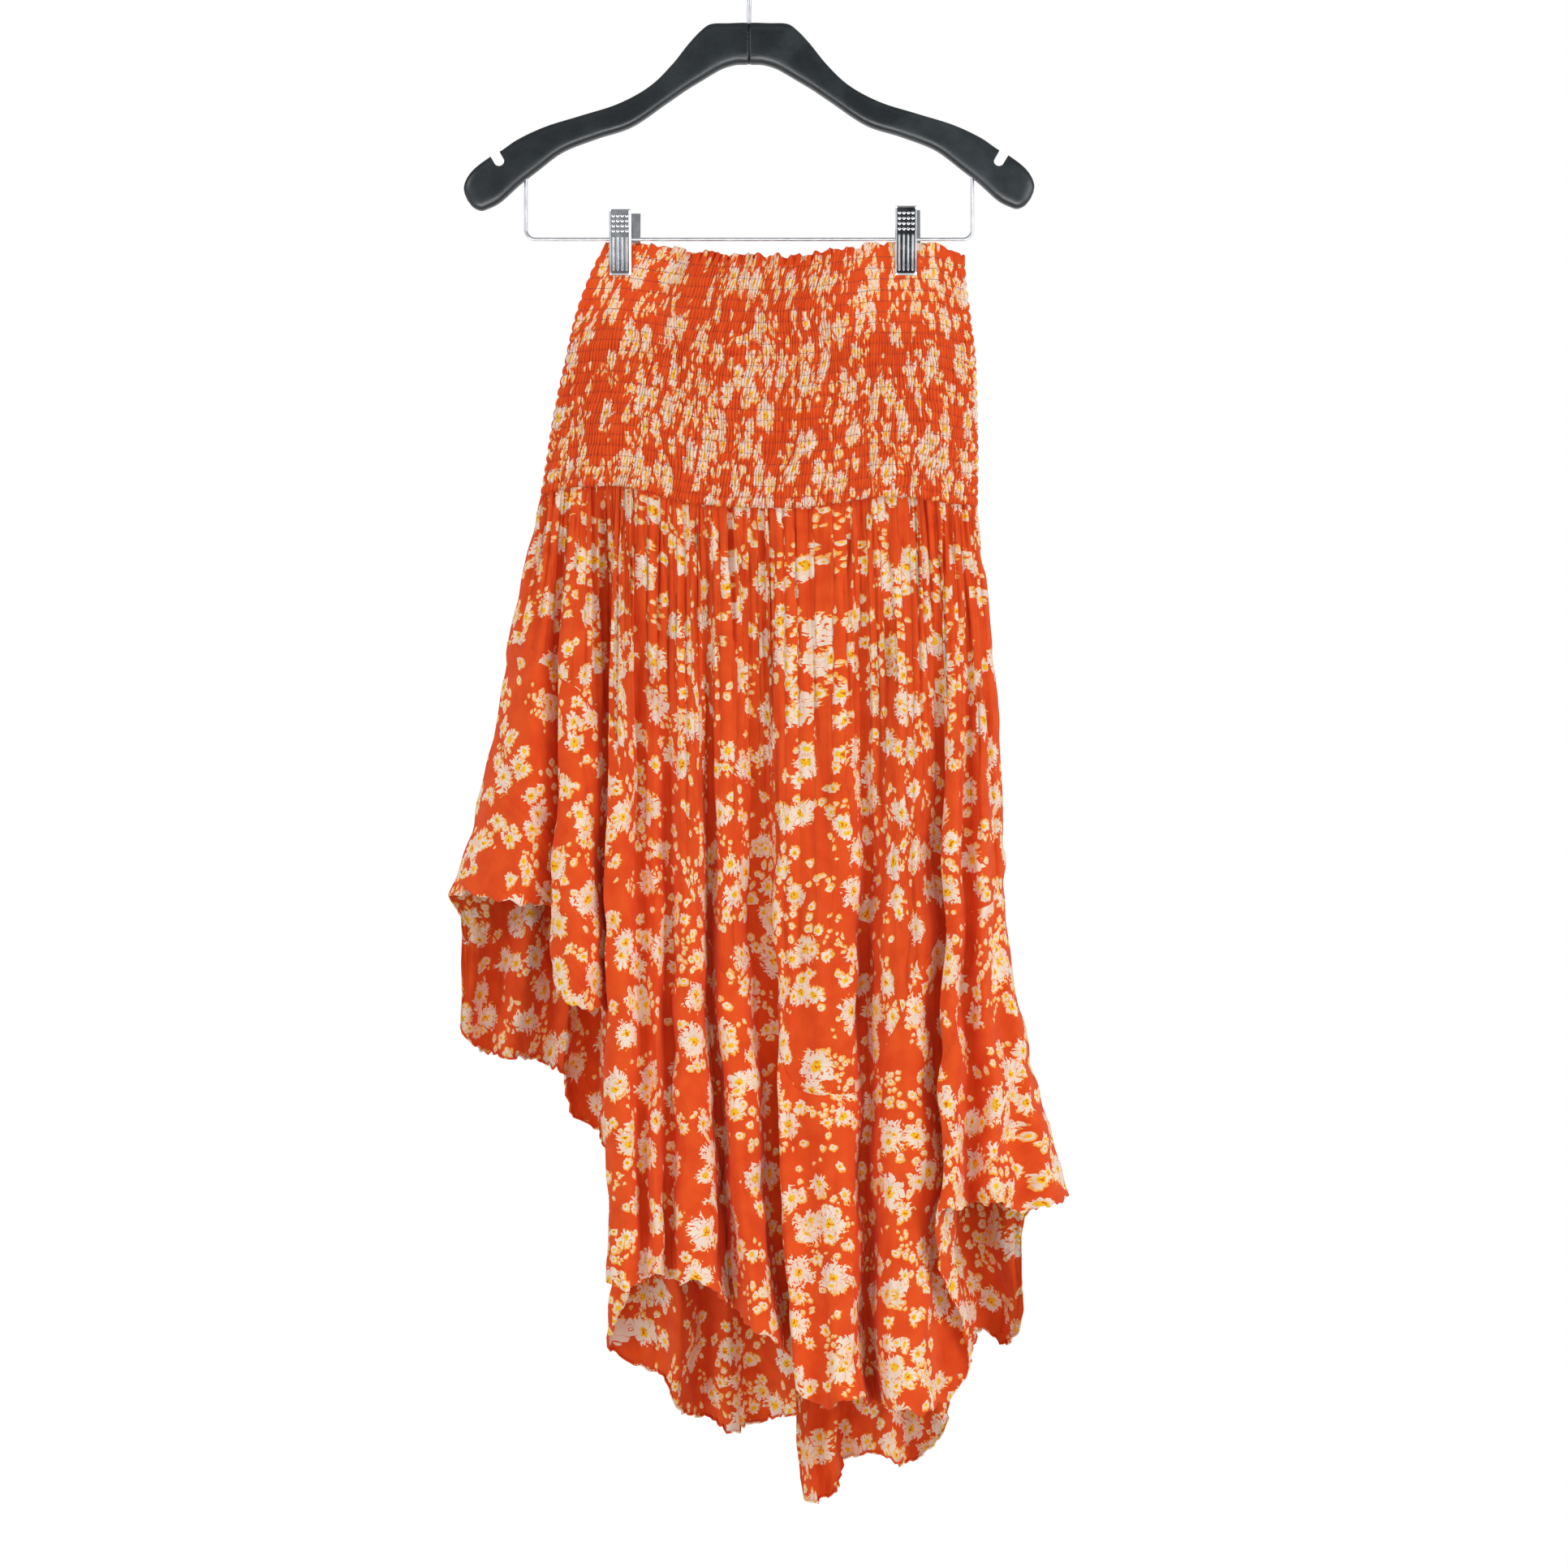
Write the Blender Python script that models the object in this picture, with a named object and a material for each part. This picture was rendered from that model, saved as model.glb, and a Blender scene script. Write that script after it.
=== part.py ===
# Convertible skirt with a shirred yoke, hanging by two clips from a wrapped hanger.
# Metres, +Z up, the front faces -Y, the origin is inside the crown of the hook.
# Sizes and tables are in millimetres, and MM turns them into metres.
import math

import bmesh
import bpy
import numpy as np
from mathutils import Matrix, Vector

MM = 0.001
PIECE_GAP = 0.3
CLOTH_SHARP_ANGLE = math.radians(50.0)
HANGER_SHARP_ANGLE = math.radians(45.0)

# Cloth walls
YOKE_WALL = 1.6
SKIRT_WALL = 1.3
PINCH_HALF_GAP = 0.25

# Yoke: depth is measured outwards from the plane between front and back
YOKE_HALF_DEPTH_TOP = 13.0
YOKE_HALF_DEPTH_BOTTOM = 36.0
YOKE_ROUNDNESS = 2.6
YOKE_EDGE_STEP = 1.2
HEADER_HEIGHT = 9.0
SHIRR_PITCH = 8.0
SHIRR_ROWS = 22
SHIRR_RELIEF = 0.55
PLAIN_ROWS_PER_SECTION = 4
YOKE_COLUMNS_BETWEEN = 9
YOKE_COLUMNS_RIGHT = 2

# Where a clip presses the two layers together
PINCH_HALF_WIDTH = 20.0
PINCH_FADE_WIDTH = 40.0
PINCH_HEIGHT = 32.0
PINCH_FADE_HEIGHT = 50.0

# Skirt and flounce
COLUMNS_PER_FOLD = 3
SKIRT_LEVELS = (0.0, 0.12, 0.36, 0.68, 1.0)
FLOUNCE_LEVELS = (0.0, 0.36, 0.74, 1.0)
GATHER_HEIGHT = 2.6
GATHER_SHARE = 0.26
GATHER_FADE = 2.2
FLARE_POWER = 1.35
SIDE_BULGE = 3.5
SKIRT_TOP_DROP = 0.45
SEAM_STEEPEST = 4.0
SEAM_LEAST_STEP = 0.5

# Hanger
HANGER_HALF_THICKNESS = 7.5
HANGER_RING_POINTS = 14
HANGER_ROUNDNESS = 2.7
NOTCH_WIDTH = 7.6
NOTCH_BOTTOM = (185.9, -187.4)
NOTCH_TILT = math.radians(8.0)
NOTCH_LENGTH = 30.0
HOOK_WIRE_RADIUS = 1.5
HOOK_INNER_RADIUS = 21.0
HOOK_STEM_BOTTOM = -97.0
BAR_WIRE_RADIUS = 1.3
BAR_HEIGHT = -244.6
BAR_HALF_WIDTH = 165.0
BAR_TOP = -191.0
BAR_CORNER_RADIUS = 7.0
HOLE_CLEARANCE = 0.4
HOLE_SIDES = 12
HOOK_HOLE_LENGTH = 26.0
BAR_HOLE_LENGTH = 30.0
ROUND_STEPS = 6

# Clips
CLIP_WIDTH = 16.0
JAW_THICKNESS = 1.2
SPRING_LENGTH = 12.0
SPRING_RADIUS = 2.9
SPRING_TURNS = 5
SPRING_RIDGE = 0.35
SPRING_SIDES = 10
EAR_THICKNESS = 0.8
EAR_INSET = 0.2
EAR_SLOPE = 1.5
EAR_TOP = 6.0
EAR_BOTTOM = -1.4
RIB_COUNT = 4
RIB_WIDTH = 1.7
RIB_HEIGHT = 0.7
RIB_SUNK = 0.4
RIB_PITCH = 3.3
RIB_START = 2.0
RIB_END = 29.5
DOT_COUNT = 4
DOT_RADIUS = 1.1
DOT_HEIGHT = 0.45
DOT_SIDES = 6
DOT_START = 33.5
DOT_PITCH = 3.8

# x of the clip's middle, z of its lower end
CLIPS = {
    "left": {"x": -95.1, "z": -271.0},
    "right": {"x": 115.8, "z": -273.0},
}

# Depth of a jaw's inner face at heights above its lower end
JAW_PROFILE = (
    {"height": 0.0, "depth": 2.2},
    {"height": 7.0, "depth": 2.2},
    {"height": 26.4, "depth": 5.2},
    {"height": 49.0, "depth": 9.2},
    {"height": 50.0, "depth": 10.2},
)

# Top edge and lower seam of the yoke: x, z
YOKE_TOP = (
    (-106.2, -247.2), (-104.0, -248.3), (-83.0, -248.3), (-67.0, -250.6),
    (-41.0, -256.0), (-9.0, -258.0), (20.0, -259.0), (46.0, -256.6),
    (76.0, -252.3), (95.0, -248.5), (137.0, -248.3), (148.0, -254.0), (159.6, -256.6),
)
YOKE_BOTTOM = (
    (-154.0, -434.0), (-113.0, -429.6), (-90.0, -430.8), (-67.0, -437.0),
    (-44.0, -443.0), (-9.0, -446.0), (23.0, -446.8), (55.0, -444.6),
    (96.0, -438.6), (119.0, -438.2), (142.0, -441.6), (168.6, -442.8),
)

# Side edges of the yoke: z, x
YOKE_LEFT = (
    (-434.0, -154.0), (-415.0, -150.0), (-374.0, -142.8), (-334.0, -132.6),
    (-301.6, -126.6), (-272.8, -117.6), (-247.2, -106.2),
)
YOKE_RIGHT = (
    (-442.8, 168.6), (-415.0, 169.2), (-374.0, 168.6), (-336.4, 167.4),
    (-293.2, 162.4), (-269.8, 159.7), (-256.6, 159.6),
)

# One row for each fold line of the cloth below the yoke, from the viewer's left to the right:
# x at the yoke, at the flounce seam and at the hem, depth at the seam and at the hem,
# height of the flounce seam and of the hem
FOLD_COLUMNS = ("x_yoke", "x_seam", "x_hem", "depth_seam", "depth_hem", "z_seam", "z_hem")
FRONT_FOLDS = (
    (-154.0, -177.0, -221.0, 0.15, 0.15, -551, -729),
    (-149.0, -168.5, -201.0, 20.0, 30.0, -554, -731),
    (-142.0, -154.5, -168.5, 32.0, 46.0, -558, -736),
    (-133.0, -137.0, -136.0, 13.0, 15.0, -566, -745),
    (-129.0, -138.5, -143.5, 34.0, 48.0, -569, -800),
    (-121.0, -125.5, -124.0, 42.0, 61.0, -577, -805),
    (-114.0, -112.0, -110.5, 32.0, 45.0, -597, -808),
    (-108.0, -105.0, -100.0, 17.0, 20.0, -604, -834),
    (-102.5, -93.5, -86.5, 14.0, 15.0, -622, -910),
    (-97.0, -102.0, -105.0, 38.0, 56.0, -615, -993),
    (-90.0, -90.0, -88.5, 46.0, 70.0, -650, -998),
    (-80.0, -79.0, -75.5, 28.0, 56.0, -690, -1002),
    (-70.0, -67.5, -63.5, 40.0, 72.0, -699, -1001),
    (-60.0, -58.0, -54.5, 28.0, 48.0, -705, -1005),
    (-50.0, -46.5, -42.0, 46.0, 68.0, -715, -1003),
    (-40.0, -35.0, -24.0, 42.0, 60.0, -743, -1007),
    (-33.0, -28.5, -13.5, 12.0, 18.0, -764, -1027),
    (-22.0, -18.5, 3.5, 40.0, 62.0, -786, -1041),
    (-11.0, -5.5, 18.0, 30.0, 50.0, -797, -1049),
    (-1.0, 6.0, 27.0, 11.0, 14.0, -807, -1059),
    (9.0, 23.0, 41.0, 10.0, 12.0, -825, -1074),
    (18.0, 21.0, 36.0, 42.0, 60.0, -845, -1088),
    (34.0, 39.0, 51.5, 37.0, 56.0, -870, -1095),
    (52.0, 56.5, 64.0, 46.0, 69.0, -873, -1093),
    (71.0, 77.0, 78.5, 40.0, 60.0, -872, -1093),
    (80.0, 87.0, 88.5, 10.0, 13.0, -867, -1099),
    (97.0, 103.5, 105.0, 44.0, 64.0, -831, -1094),
    (118.0, 123.5, 125.0, 40.0, 55.0, -788, -1100),
    (129.0, 138.5, 144.0, 13.0, 24.0, -756, -1100),
    (135.0, 147.5, 161.5, 12.0, 13.0, -751, -1077),
    (141.0, 141.0, 135.0, 38.0, 62.0, -749, -957),
    (147.0, 150.0, 148.0, 44.0, 64.0, -744, -950),
    (152.5, 159.5, 163.0, 24.0, 34.0, -742, -958),
    (157.5, 170.0, 179.5, 38.0, 54.0, -737, -960),
    (162.0, 179.5, 201.0, 21.0, 25.0, -734, -964),
    (165.6, 186.0, 221.0, 13.0, 27.0, -734, -958),
    (168.6, 189.5, 237.0, 0.15, 0.15, -734, -951),
)
BACK_FOLDS = (
    (-154.0, -177.0, -221.0, 0.15, 0.15, -551, -729),
    (-150.0, -174.0, -217.0, 14.0, 22.0, -575, -827),
    (-144.0, -166.5, -200.0, 30.0, 44.0, -599, -850),
    (-137.0, -153.0, -174.5, 15.0, 20.0, -612, -852),
    (-130.0, -144.5, -154.5, 34.0, 48.0, -620, -856),
    (-123.0, -134.5, -138.5, 20.0, 26.0, -626, -859),
    (-117.0, -129.0, -134.0, 34.0, 50.0, -645, -896),
    (-108.0, -117.5, -116.0, 40.0, 58.0, -660, -906),
    (-103.0, -108.0, -104.0, 18.0, 24.0, -676, -925),
    (-98.0, -96.0, -88.0, 16.0, 18.0, -718, -992),
    (-92.0, -102.0, -109.0, 38.0, 60.0, -772, -1072),
    (-84.0, -89.0, -87.0, 46.0, 68.0, -803, -1086),
    (-72.0, -71.5, -61.5, 34.0, 46.0, -832, -1092),
    (-62.0, -58.5, -51.0, 22.0, 27.0, -852, -1111),
    (-48.0, -42.0, -34.5, 46.0, 66.0, -884, -1130),
    (-32.0, -24.5, -13.5, 30.0, 40.0, -893, -1129),
    (-16.0, -8.5, 5.5, 44.0, 62.0, -897, -1127),
    (0.0, 12.0, 28.0, 28.0, 32.0, -898, -1119),
    (10.0, 23.0, 39.0, 16.0, 18.0, -912, -1170),
    (24.0, 38.0, 54.5, 46.0, 64.0, -940, -1196),
    (40.0, 53.5, 68.5, 34.0, 40.0, -929, -1162),
    (56.0, 69.0, 85.5, 48.0, 68.0, -920, -1166),
    (72.0, 85.5, 103.0, 27.0, 30.0, -908, -1148),
    (88.0, 101.5, 123.5, 46.0, 62.0, -905, -1158),
    (104.0, 118.0, 142.5, 28.0, 32.0, -883, -1132),
    (115.0, 130.0, 150.5, 44.0, 56.0, -864, -1095),
    (126.0, 143.0, 162.0, 21.0, 22.0, -852, -1082),
    (134.0, 154.0, 171.0, 40.0, 50.0, -843, -1056),
    (143.0, 165.5, 188.5, 44.0, 56.0, -833, -1069),
    (151.0, 174.5, 204.0, 28.0, 28.0, -812, -1062),
    (158.0, 181.0, 208.5, 19.0, 22.0, -781, -969),
    (164.0, 187.0, 225.0, 13.0, 15.0, -756, -958),
    (168.6, 189.5, 237.0, 0.15, 0.15, -734, -951),
)

# Sections of the right arm from the middle outwards: upper edge, lower edge, share of thickness
ARM_SECTIONS = (
    {"upper": (0.15, -85.0), "lower": (0.15, -115.0), "thick": 1.0},
    {"upper": (15.0, -85.2), "lower": (10.0, -115.4), "thick": 1.0},
    {"upper": (29.0, -86.0), "lower": (20.0, -118.4), "thick": 1.0},
    {"upper": (36.0, -91.0), "lower": (27.0, -122.2), "thick": 1.0},
    {"upper": (45.0, -100.6), "lower": (34.0, -126.4), "thick": 0.97},
    {"upper": (57.0, -115.6), "lower": (46.0, -133.6), "thick": 0.95},
    {"upper": (73.2, -131.2), "lower": (61.0, -143.0), "thick": 0.93},
    {"upper": (96.0, -143.8), "lower": (86.0, -158.4), "thick": 0.93},
    {"upper": (124.2, -152.8), "lower": (113.0, -166.6), "thick": 0.93},
    {"upper": (151.2, -161.2), "lower": (138.0, -176.6), "thick": 0.93},
    {"upper": (171.6, -170.8), "lower": (156.0, -191.0), "thick": 0.95},
    {"upper": (183.0, -178.6), "lower": (170.0, -204.0), "thick": 0.97},
    {"upper": (193.0, -184.4), "lower": (183.0, -215.8), "thick": 0.97},
    {"upper": (204.0, -193.0), "lower": (192.5, -221.0), "thick": 0.92},
    {"upper": (209.4, -201.5), "lower": (199.2, -222.6), "thick": 0.8},
    {"upper": (210.0, -207.5), "lower": (204.5, -219.0), "thick": 0.55},
)

# Hook from its stem to its tip: x, z
HOOK_LEAD_IN = ((0.0, -97.0), (0.0, -84.0), (0.0, -74.0), (0.6, -66.0), (4.0, -57.0), (10.5, -47.5))
HOOK_ARC_START = -42.0
HOOK_ARC_END = 196.0
HOOK_ARC_STEPS = 18
HOOK_TIP = ((-22.6, -32.0), (-24.6, -36.6))

COLOURS = {
    "yoke": ((0.80, 0.10, 0.03), 0.85, 0.0),
    "skirt": ((0.78, 0.09, 0.03), 0.85, 0.0),
    "flounce": ((0.74, 0.08, 0.03), 0.85, 0.0),
    "hanger": ((0.055, 0.065, 0.07), 0.42, 0.0),
    "wire": ((0.75, 0.76, 0.78), 0.18, 1.0),
    "clip": ((0.62, 0.63, 0.65), 0.15, 1.0),
}


def remove_all_objects():
    for item in list(bpy.data.objects):
        bpy.data.objects.remove(item)


def make_collection(name):
    collection = bpy.data.collections.new(name)
    bpy.context.scene.collection.children.link(collection)
    return collection


def make_material(name, kind):
    colour, roughness, metallic = COLOURS[kind]
    material = bpy.data.materials.new(name)
    material.use_nodes = True
    shader = material.node_tree.nodes["Principled BSDF"]
    shader.inputs["Base Color"].default_value = (*colour, 1.0)
    shader.inputs["Roughness"].default_value = roughness
    shader.inputs["Metallic"].default_value = metallic
    material.diffuse_color = (*colour, 1.0)
    return material


def add_object(name, data, collection, kind):
    item = bpy.data.objects.new(name, data)
    collection.objects.link(item)
    data.materials.clear()
    data.materials.append(make_material(name, kind))
    return item


def as_cutter(item, collection):
    for holder in list(item.users_collection):
        holder.objects.unlink(item)
    collection.objects.link(item)
    item.hide_render = True
    item.display_type = "WIRE"
    return item


def cut_with(item, cutter):
    cut = item.modifiers.new("cut " + cutter.name, "BOOLEAN")
    cut.operation = "DIFFERENCE"
    cut.solver = "EXACT"
    cut.object = cutter


def hermite(knots, values, tangents, samples):
    # Cubic pieces with the given values and slopes at the knots.
    cell = np.clip(np.searchsorted(knots, samples, side="right") - 1, 0, len(knots) - 2)
    step = knots[cell + 1] - knots[cell]
    t = (samples - knots[cell]) / step
    rise = (2 * t ** 3 - 3 * t ** 2 + 1) * values[cell] + (3 * t ** 2 - 2 * t ** 3) * values[cell + 1]
    lean = (t ** 3 - 2 * t ** 2 + t) * tangents[cell] + (t ** 3 - t ** 2) * tangents[cell + 1]
    return rise + lean * step


def monotone_curve(knots, values, samples):
    # Cubic through the knots that never runs past them (Fritsch and Carlson's slopes).
    knots = np.asarray(knots, float)
    values = np.asarray(values, float)
    steps = np.diff(knots)
    slopes = np.diff(values) / steps
    tangents = np.zeros(len(knots))
    tangents[0] = slopes[0]
    tangents[-1] = slopes[-1]
    for index in range(1, len(knots) - 1):
        before = slopes[index - 1]
        after = slopes[index]
        if before * after > 0.0:
            first = 2.0 * steps[index] + steps[index - 1]
            second = steps[index] + 2.0 * steps[index - 1]
            tangents[index] = (first + second) / (first / before + second / after)
    return hermite(knots, values, tangents, samples)


def rounded_curve(knots, values, samples):
    # Cubic through the knots whose slope at each is that of the parabola through its neighbours.
    steps = np.diff(knots)
    slopes = np.diff(values) / steps
    tangents = np.concatenate((slopes[:1], slopes, slopes[-1:]))[:-1]
    share = steps[:-1] / (steps[:-1] + steps[1:])
    tangents[1:-1] = slopes[:-1] + (slopes[1:] - slopes[:-1]) * share
    return hermite(knots, values, tangents, samples)


def line_at(table, samples):
    knots, values = zip(*table)
    return monotone_curve(knots, values, np.clip(samples, knots[0], knots[-1]))


def edge_at(table, share):
    # Height of an edge at shares of its width.
    left = table[0][0]
    right = table[-1][0]
    return line_at(table, left + (right - left) * share)


def fade(value):
    # 1 at or below zero, 0 at or above one, smooth between.
    t = np.clip(value, 0.0, 1.0)
    return 1.0 - t * t * (3.0 - 2.0 * t)


def pinch_share(x, drop):
    # How far the clips press the cloth flat at x and at a drop below the top edge.
    share = np.zeros_like(x)
    for clip in CLIPS.values():
        across = fade((np.abs(x - clip["x"]) - PINCH_HALF_WIDTH) / PINCH_FADE_WIDTH)
        down = fade((drop - PINCH_HEIGHT) / PINCH_FADE_HEIGHT)
        share = np.maximum(share, across * down)
    return share


def yoke_depth(share, x, drop_share, drop):
    # Half of a flattened tube: round at the sides and pressed flat at the clips.
    half = YOKE_HALF_DEPTH_TOP + (YOKE_HALF_DEPTH_BOTTOM - YOKE_HALF_DEPTH_TOP) * drop_share
    side = np.abs(2.0 * share - 1.0)
    rounding = np.sqrt(np.clip(1.0 - side ** YOKE_ROUNDNESS, 0.0, 1.0))
    pressed = PINCH_HALF_GAP + YOKE_WALL
    depth = pressed + (half * rounding - pressed) * (1.0 - pinch_share(x, drop))
    return np.maximum(depth, pressed)


def yoke_columns():
    # Shares of the width: the rounded edges, both sides of each clip, and even steps between.
    left = YOKE_TOP[0][0]
    width = YOKE_TOP[-1][0] - left
    edge = YOKE_EDGE_STEP / width
    left_clip = (CLIPS["left"]["x"] + PINCH_HALF_WIDTH - left) / width
    right_clip = (CLIPS["right"]["x"] - left) / width
    reach = PINCH_HALF_WIDTH / width
    between = np.linspace(left_clip, right_clip - reach, YOKE_COLUMNS_BETWEEN)
    right = np.linspace(right_clip + reach, 1.0 - edge, YOKE_COLUMNS_RIGHT + 1)
    return np.concatenate(([0.0, edge], between, [right_clip], right, [1.0]))


def yoke_sections():
    # Drops below the top edge: the edge, each shirring row and each puff, and the seam.
    rows = HEADER_HEIGHT + SHIRR_PITCH * np.arange(SHIRR_ROWS)
    puffs = rows[:-1] + 0.5 * SHIRR_PITCH
    inner = np.sort(np.concatenate((rows, puffs)))
    relief = np.where(np.isin(inner, rows), -SHIRR_RELIEF, SHIRR_RELIEF)
    total = rows[-1] + SHIRR_PITCH
    drops = np.concatenate(([0.0], inner, [total]))
    return drops, drops / total, np.concatenate(([0.0], relief, [0.0]))


def yoke_grid():
    # Outer points before the shirring is raised: arrays of x, depth and z.
    columns = yoke_columns()
    drops, shares, relief = yoke_sections()
    edge_top_left = YOKE_TOP[0][1]
    edge_top_right = YOKE_TOP[-1][1]
    left_z = edge_top_left + (YOKE_BOTTOM[0][1] - edge_top_left) * shares
    right_z = edge_top_right + (YOKE_BOTTOM[-1][1] - edge_top_right) * shares
    left = line_at(YOKE_LEFT, left_z)[:, None]
    right = line_at(YOKE_RIGHT, right_z)[:, None]
    share = columns[None, :]
    x = left + (right - left) * share
    top = edge_at(YOKE_TOP, share)
    low = edge_at(YOKE_BOTTOM, share) + 0.5 * PIECE_GAP
    z = top + (low - top) * shares[:, None]
    depth = yoke_depth(share, x, shares[:, None], drops[:, None])
    depth[:, 0] = 0.5 * PIECE_GAP
    depth[:, -1] = 0.5 * PIECE_GAP
    free = 1.0 - pinch_share(x, drops[:, None])
    free[:, :1] = 0.0
    free[:, -1:] = 0.0
    return np.stack((x, depth, z), axis=-1), relief[:, None] * free


def level_normals(grid):
    # Horizontal unit vectors that point from the outer face into the wall.
    across = np.gradient(grid, axis=1)
    down = np.gradient(grid, axis=0)
    normal = np.cross(down, across)
    normal[..., 2] = 0.0
    length = np.linalg.norm(normal, axis=-1, keepdims=True)
    return normal / np.maximum(length, 1e-9)


def inner_points(grid, wall):
    # The inner face, kept on its own side of the plane between front and back.
    inner = grid + level_normals(grid) * wall
    inner[..., 1] = np.maximum(inner[..., 1], 0.5 * PIECE_GAP)
    return inner


def strip_faces(first, second):
    # Triangles between two rows of vertex numbers that share their ends' places.
    faces = []
    i = 0
    j = 0
    while i < len(first) - 1 or j < len(second) - 1:
        take_first = j == len(second) - 1
        if i < len(first) - 1 and not take_first:
            take_first = (i + 0.5) / (len(first) - 1) <= (j + 0.5) / (len(second) - 1)
        if take_first:
            faces.append((first[i], first[i + 1], second[j]))
            i += 1
        else:
            faces.append((first[i], second[j + 1], second[j]))
            j += 1
    return faces


def grid_faces(points, ids):
    # Two triangles for each cell, split along its shorter diagonal.
    faces = []
    for row in range(points.shape[0] - 1):
        for column in range(points.shape[1] - 1):
            a, b = ids[row, column:column + 2]
            d, c = ids[row + 1, column:column + 2]
            falling = np.linalg.norm(points[row, column] - points[row + 1, column + 1])
            rising = np.linalg.norm(points[row, column + 1] - points[row + 1, column])
            if falling <= rising:
                faces += [(a, d, c), (a, c, b)]
            else:
                faces += [(a, d, b), (b, d, c)]
    return faces


def wall_mesh(name, outer, inner, side):
    # A closed wall between an outer and an inner grid; side is -1 in front, +1 behind.
    outer_ids = np.arange(outer[..., 0].size).reshape(outer.shape[:2])
    inner_ids = np.arange(inner[..., 0].size).reshape(inner.shape[:2]) + outer_ids.size
    faces = grid_faces(outer, outer_ids)
    faces += [face[::-1] for face in grid_faces(inner, inner_ids)]
    faces += strip_faces(outer_ids[0], inner_ids[0])
    faces += [face[::-1] for face in strip_faces(outer_ids[-1], inner_ids[-1])]
    faces += [face[::-1] for face in strip_faces(outer_ids[:, 0], inner_ids[:, 0])]
    faces += strip_faces(outer_ids[:, -1], inner_ids[:, -1])
    if side > 0:
        faces = [face[::-1] for face in faces]
    points = np.concatenate((outer.reshape(-1, 3), inner.reshape(-1, 3)))
    points = points * np.array((1.0, side, 1.0)) * MM
    mesh = bpy.data.meshes.new(name)
    mesh.from_pydata(points.tolist(), [], [[int(corner) for corner in face] for face in faces])
    mesh.shade_smooth()
    mesh.set_sharp_from_angle(angle=CLOTH_SHARP_ANGLE)
    return mesh


def make_yoke(name, side, collection):
    grid, relief = yoke_grid()
    rows = list(range(0, grid.shape[0], PLAIN_ROWS_PER_SECTION))
    rows[-1] = grid.shape[0] - 1
    inner = inner_points(grid, YOKE_WALL)[rows]
    outer = grid.copy()
    outer[..., 1] += relief
    return add_object(name, wall_mesh(name, outer, inner, side), collection, "yoke")


def fold_values(folds):
    return {key: np.array(column, float) for key, column in zip(FOLD_COLUMNS, zip(*folds))}


def section_through(x, depth, z):
    # A section of the cloth: a rounded curve through its fold lines, with even steps in each
    # fold, while the height never runs past the fold lines' own.
    chords = np.hypot(np.diff(x), np.diff(depth))
    knots = np.concatenate(([0.0], np.cumsum(np.sqrt(chords))))
    cells = np.arange(len(x), dtype=float)
    steps = np.linspace(0.0, len(x) - 1.0, COLUMNS_PER_FOLD * (len(x) - 1) + 1)
    samples = np.interp(steps, cells, knots)
    across = rounded_curve(knots, x, samples)
    out = rounded_curve(knots, depth, samples)
    return np.stack((across, out, monotone_curve(knots, z, samples)), axis=-1)


def folded_grid(folds):
    # The cloth from the yoke to the hem: sections through the fold lines, with a level for
    # each share of the way down the skirt and then down the flounce.
    lines = fold_values(folds)
    count = len(folds)
    steps = np.linspace(0.0, count - 1.0, COLUMNS_PER_FOLD * (count - 1) + 1)
    x_yoke = lines["x_yoke"]
    yoke_seam = yoke_grid()[0][-1]
    z_yoke = np.interp(x_yoke, yoke_seam[:, 0], yoke_seam[:, 2])
    width = x_yoke[-1] - x_yoke[0]
    share = (x_yoke - x_yoke[0]) / width
    drop = np.full(count, HEADER_HEIGHT + SHIRR_PITCH * SHIRR_ROWS)
    depth_yoke = yoke_depth(share, x_yoke, np.ones(count), drop)
    depth_yoke[0] = depth_yoke[-1] = 0.5 * PIECE_GAP
    gather = np.minimum(GATHER_HEIGHT, GATHER_SHARE * np.diff(x_yoke))
    cell = np.clip(steps.astype(int), 0, count - 2)
    wave = np.sin(math.pi * (steps - cell)) * gather[cell]
    bulge = SIDE_BULGE * np.abs(2.0 * share - 1.0) ** 2 * np.sign(share - 0.5)
    levels = []
    for t in SKIRT_LEVELS:
        eased = 1.0 - float(fade(t))
        x = x_yoke + (lines["x_seam"] - x_yoke) * t + bulge * math.sin(math.pi * t)
        depth = depth_yoke + (lines["depth_seam"] - depth_yoke) * eased
        z = z_yoke + (lines["z_seam"] - z_yoke) * t
        section = section_through(x, depth, z)
        section[:, 1] += wave * (1.0 - t) ** GATHER_FADE
        levels.append(section)
    for t in FLOUNCE_LEVELS[1:]:
        x = lines["x_seam"] + (lines["x_hem"] - lines["x_seam"]) * t ** FLARE_POWER
        depth = lines["depth_seam"] + (lines["depth_hem"] - lines["depth_seam"]) * t
        z = lines["z_seam"] + (lines["z_hem"] - lines["z_seam"]) * t
        levels.append(section_through(x, depth, z))
    return np.array(levels)


def seam_drop(section):
    # Half a gap at the seam, taken along the cloth and so larger where the seam is steep.
    step = np.gradient(section, axis=0)
    steepness = np.abs(step[:, 2]) / np.maximum(np.hypot(step[:, 0], step[:, 1]), SEAM_LEAST_STEP)
    return 0.5 * PIECE_GAP * np.minimum(np.sqrt(1.0 + steepness ** 2), SEAM_STEEPEST)


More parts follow.
